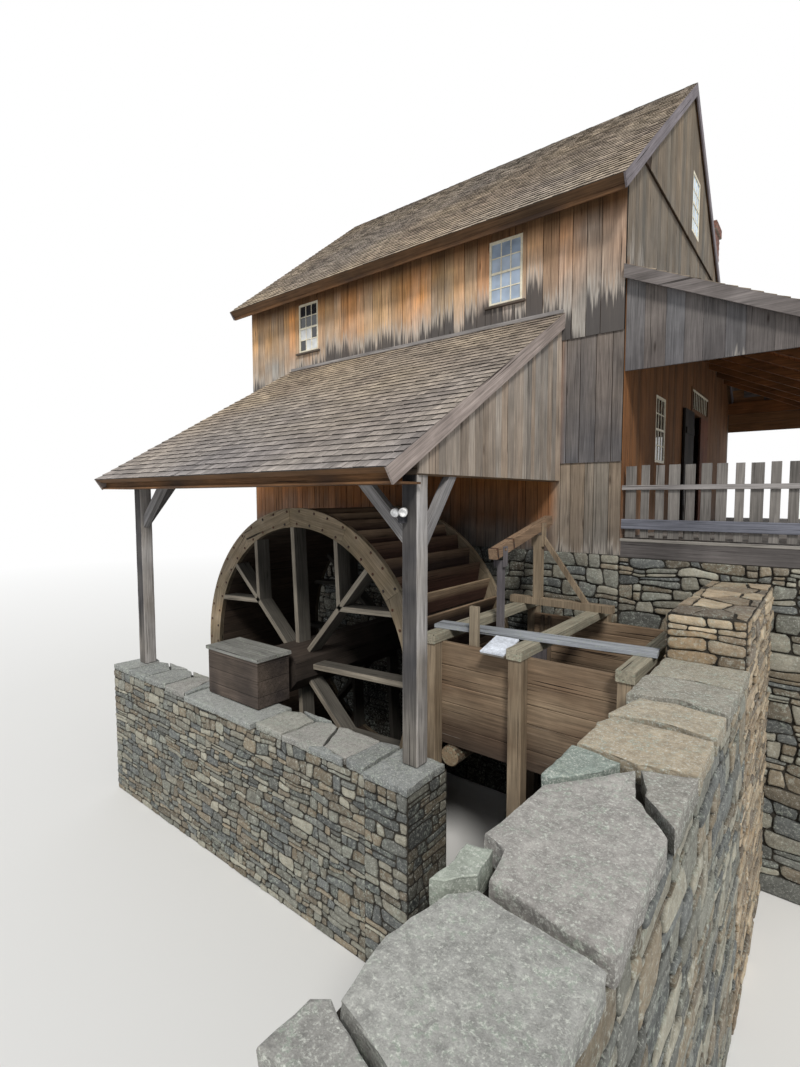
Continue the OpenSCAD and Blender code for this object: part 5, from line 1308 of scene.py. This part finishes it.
STONES = (
    # the cores of the rubble walls are dark, as painted shade in the joints between the stones
    ("foundation porch_foundation pit_wall bank_wall", "wall_core", (58, 54, 48), (40, 38, 34)),
    ("chimney", "mortar", (150, 142, 130), (120, 112, 100)))


def assign(names, material):
    """Gives each of these CAD nodes that material in every slot."""
    for name in names.split():
        obj = NODES[name]
        if not obj.material_slots:
            obj.data.materials.append(material)
        for slot in obj.material_slots:
            slot.material = material


for names, title, light, dark, axis, boards in WOODS:
    fine = 0.8 if title == "porch_barge" else 1.0
    assign(names, wood(title, fine=fine, tint=(rgb(*light), rgb(*dark)), axis=axis, boards=boards))
for names, title, light, dark in STONES:
    assign(names, stone(title, (rgb(*light), rgb(*dark)), 0.0))

# ---------------------------------------------------------------- floor, light and camera
FLOOR_R, FADE_START, FADE_END = 90, 12.0, 40.0
bpy.ops.mesh.primitive_circle_add(vertices=96, radius=FLOOR_R, fill_type="NGON", location=(-2.5, 1.5, -0.002))
ground = bpy.context.object
ground.name = "studio_floor"
g = Graph(bpy.data.materials.new("studio_floor"))
away = g.node("ShaderNodeVectorMath")
away.operation = "LENGTH"
g.fill(away, {0: g.place()})
matte = g.node("ShaderNodeBsdfDiffuse", {"Color": (0.72, 0.72, 0.71)})
glow = g.node("ShaderNodeEmission", {"Color": (1, 1, 1)})
faded = g.blended(g.span(away.outputs["Value"], FADE_START, FADE_END), matte, glow)
g.node("ShaderNodeOutputMaterial", {"Surface": faded})
ground.data.materials.append(g.owner)

# the sky is white to the camera, in reflections and through glass, and dimmer and a little blue as a light
world = bpy.data.worlds.new("studio")
bpy.context.scene.world = world
g = Graph(world)
path = g.node("ShaderNodeLightPath").outputs
seen = g.math("MAXIMUM", g.math("MAXIMUM", path["Is Camera Ray"], path["Is Glossy Ray"]), path["Is Transmission Ray"])
sky = g.node("ShaderNodeBackground", {"Color": (0.93, 0.96, 1.0), "Strength": 0.62})
white = g.node("ShaderNodeBackground", {"Color": (1, 1, 1), "Strength": 1.0})
g.node("ShaderNodeOutputWorld", {"Surface": g.blended(seen, sky, white)})

sun = bpy.data.lights.new("key", "SUN")
sun.energy = 2.6
sun.angle = math.radians(12)
sun.color = (1.0, 0.97, 0.92)
key = bpy.data.objects.new("key", sun)
key.rotation_euler = Vector((-0.52, 0.62, -0.78)).to_track_quat("-Z", "Y").to_euler()
bpy.context.scene.collection.objects.link(key)

lens = bpy.data.cameras.new("photo_camera")
lens.sensor_fit = "VERTICAL"
lens.sensor_height = 36
lens.sensor_width = 36
lens.lens = 18.33
lens.clip_start = 0.05
lens.clip_end = 400
camera = bpy.data.objects.new("photo_camera", lens)
pan, pitch, roll = math.radians(38.455), math.radians(3.929), math.radians(-0.09)
view_dir = Vector((-math.sin(pan) * math.cos(pitch), math.cos(pan) * math.cos(pitch), -math.sin(pitch)))
camera.rotation_mode = "QUATERNION"
camera.rotation_quaternion = view_dir.to_track_quat("-Z", "Y") @ Matrix.Rotation(roll, 4, "Z").to_quaternion()
camera.location = (2.329, -7.926, 4.950)
bpy.context.scene.collection.objects.link(camera)
bpy.context.scene.camera = camera
bpy.context.scene.view_settings.view_transform = "Standard"
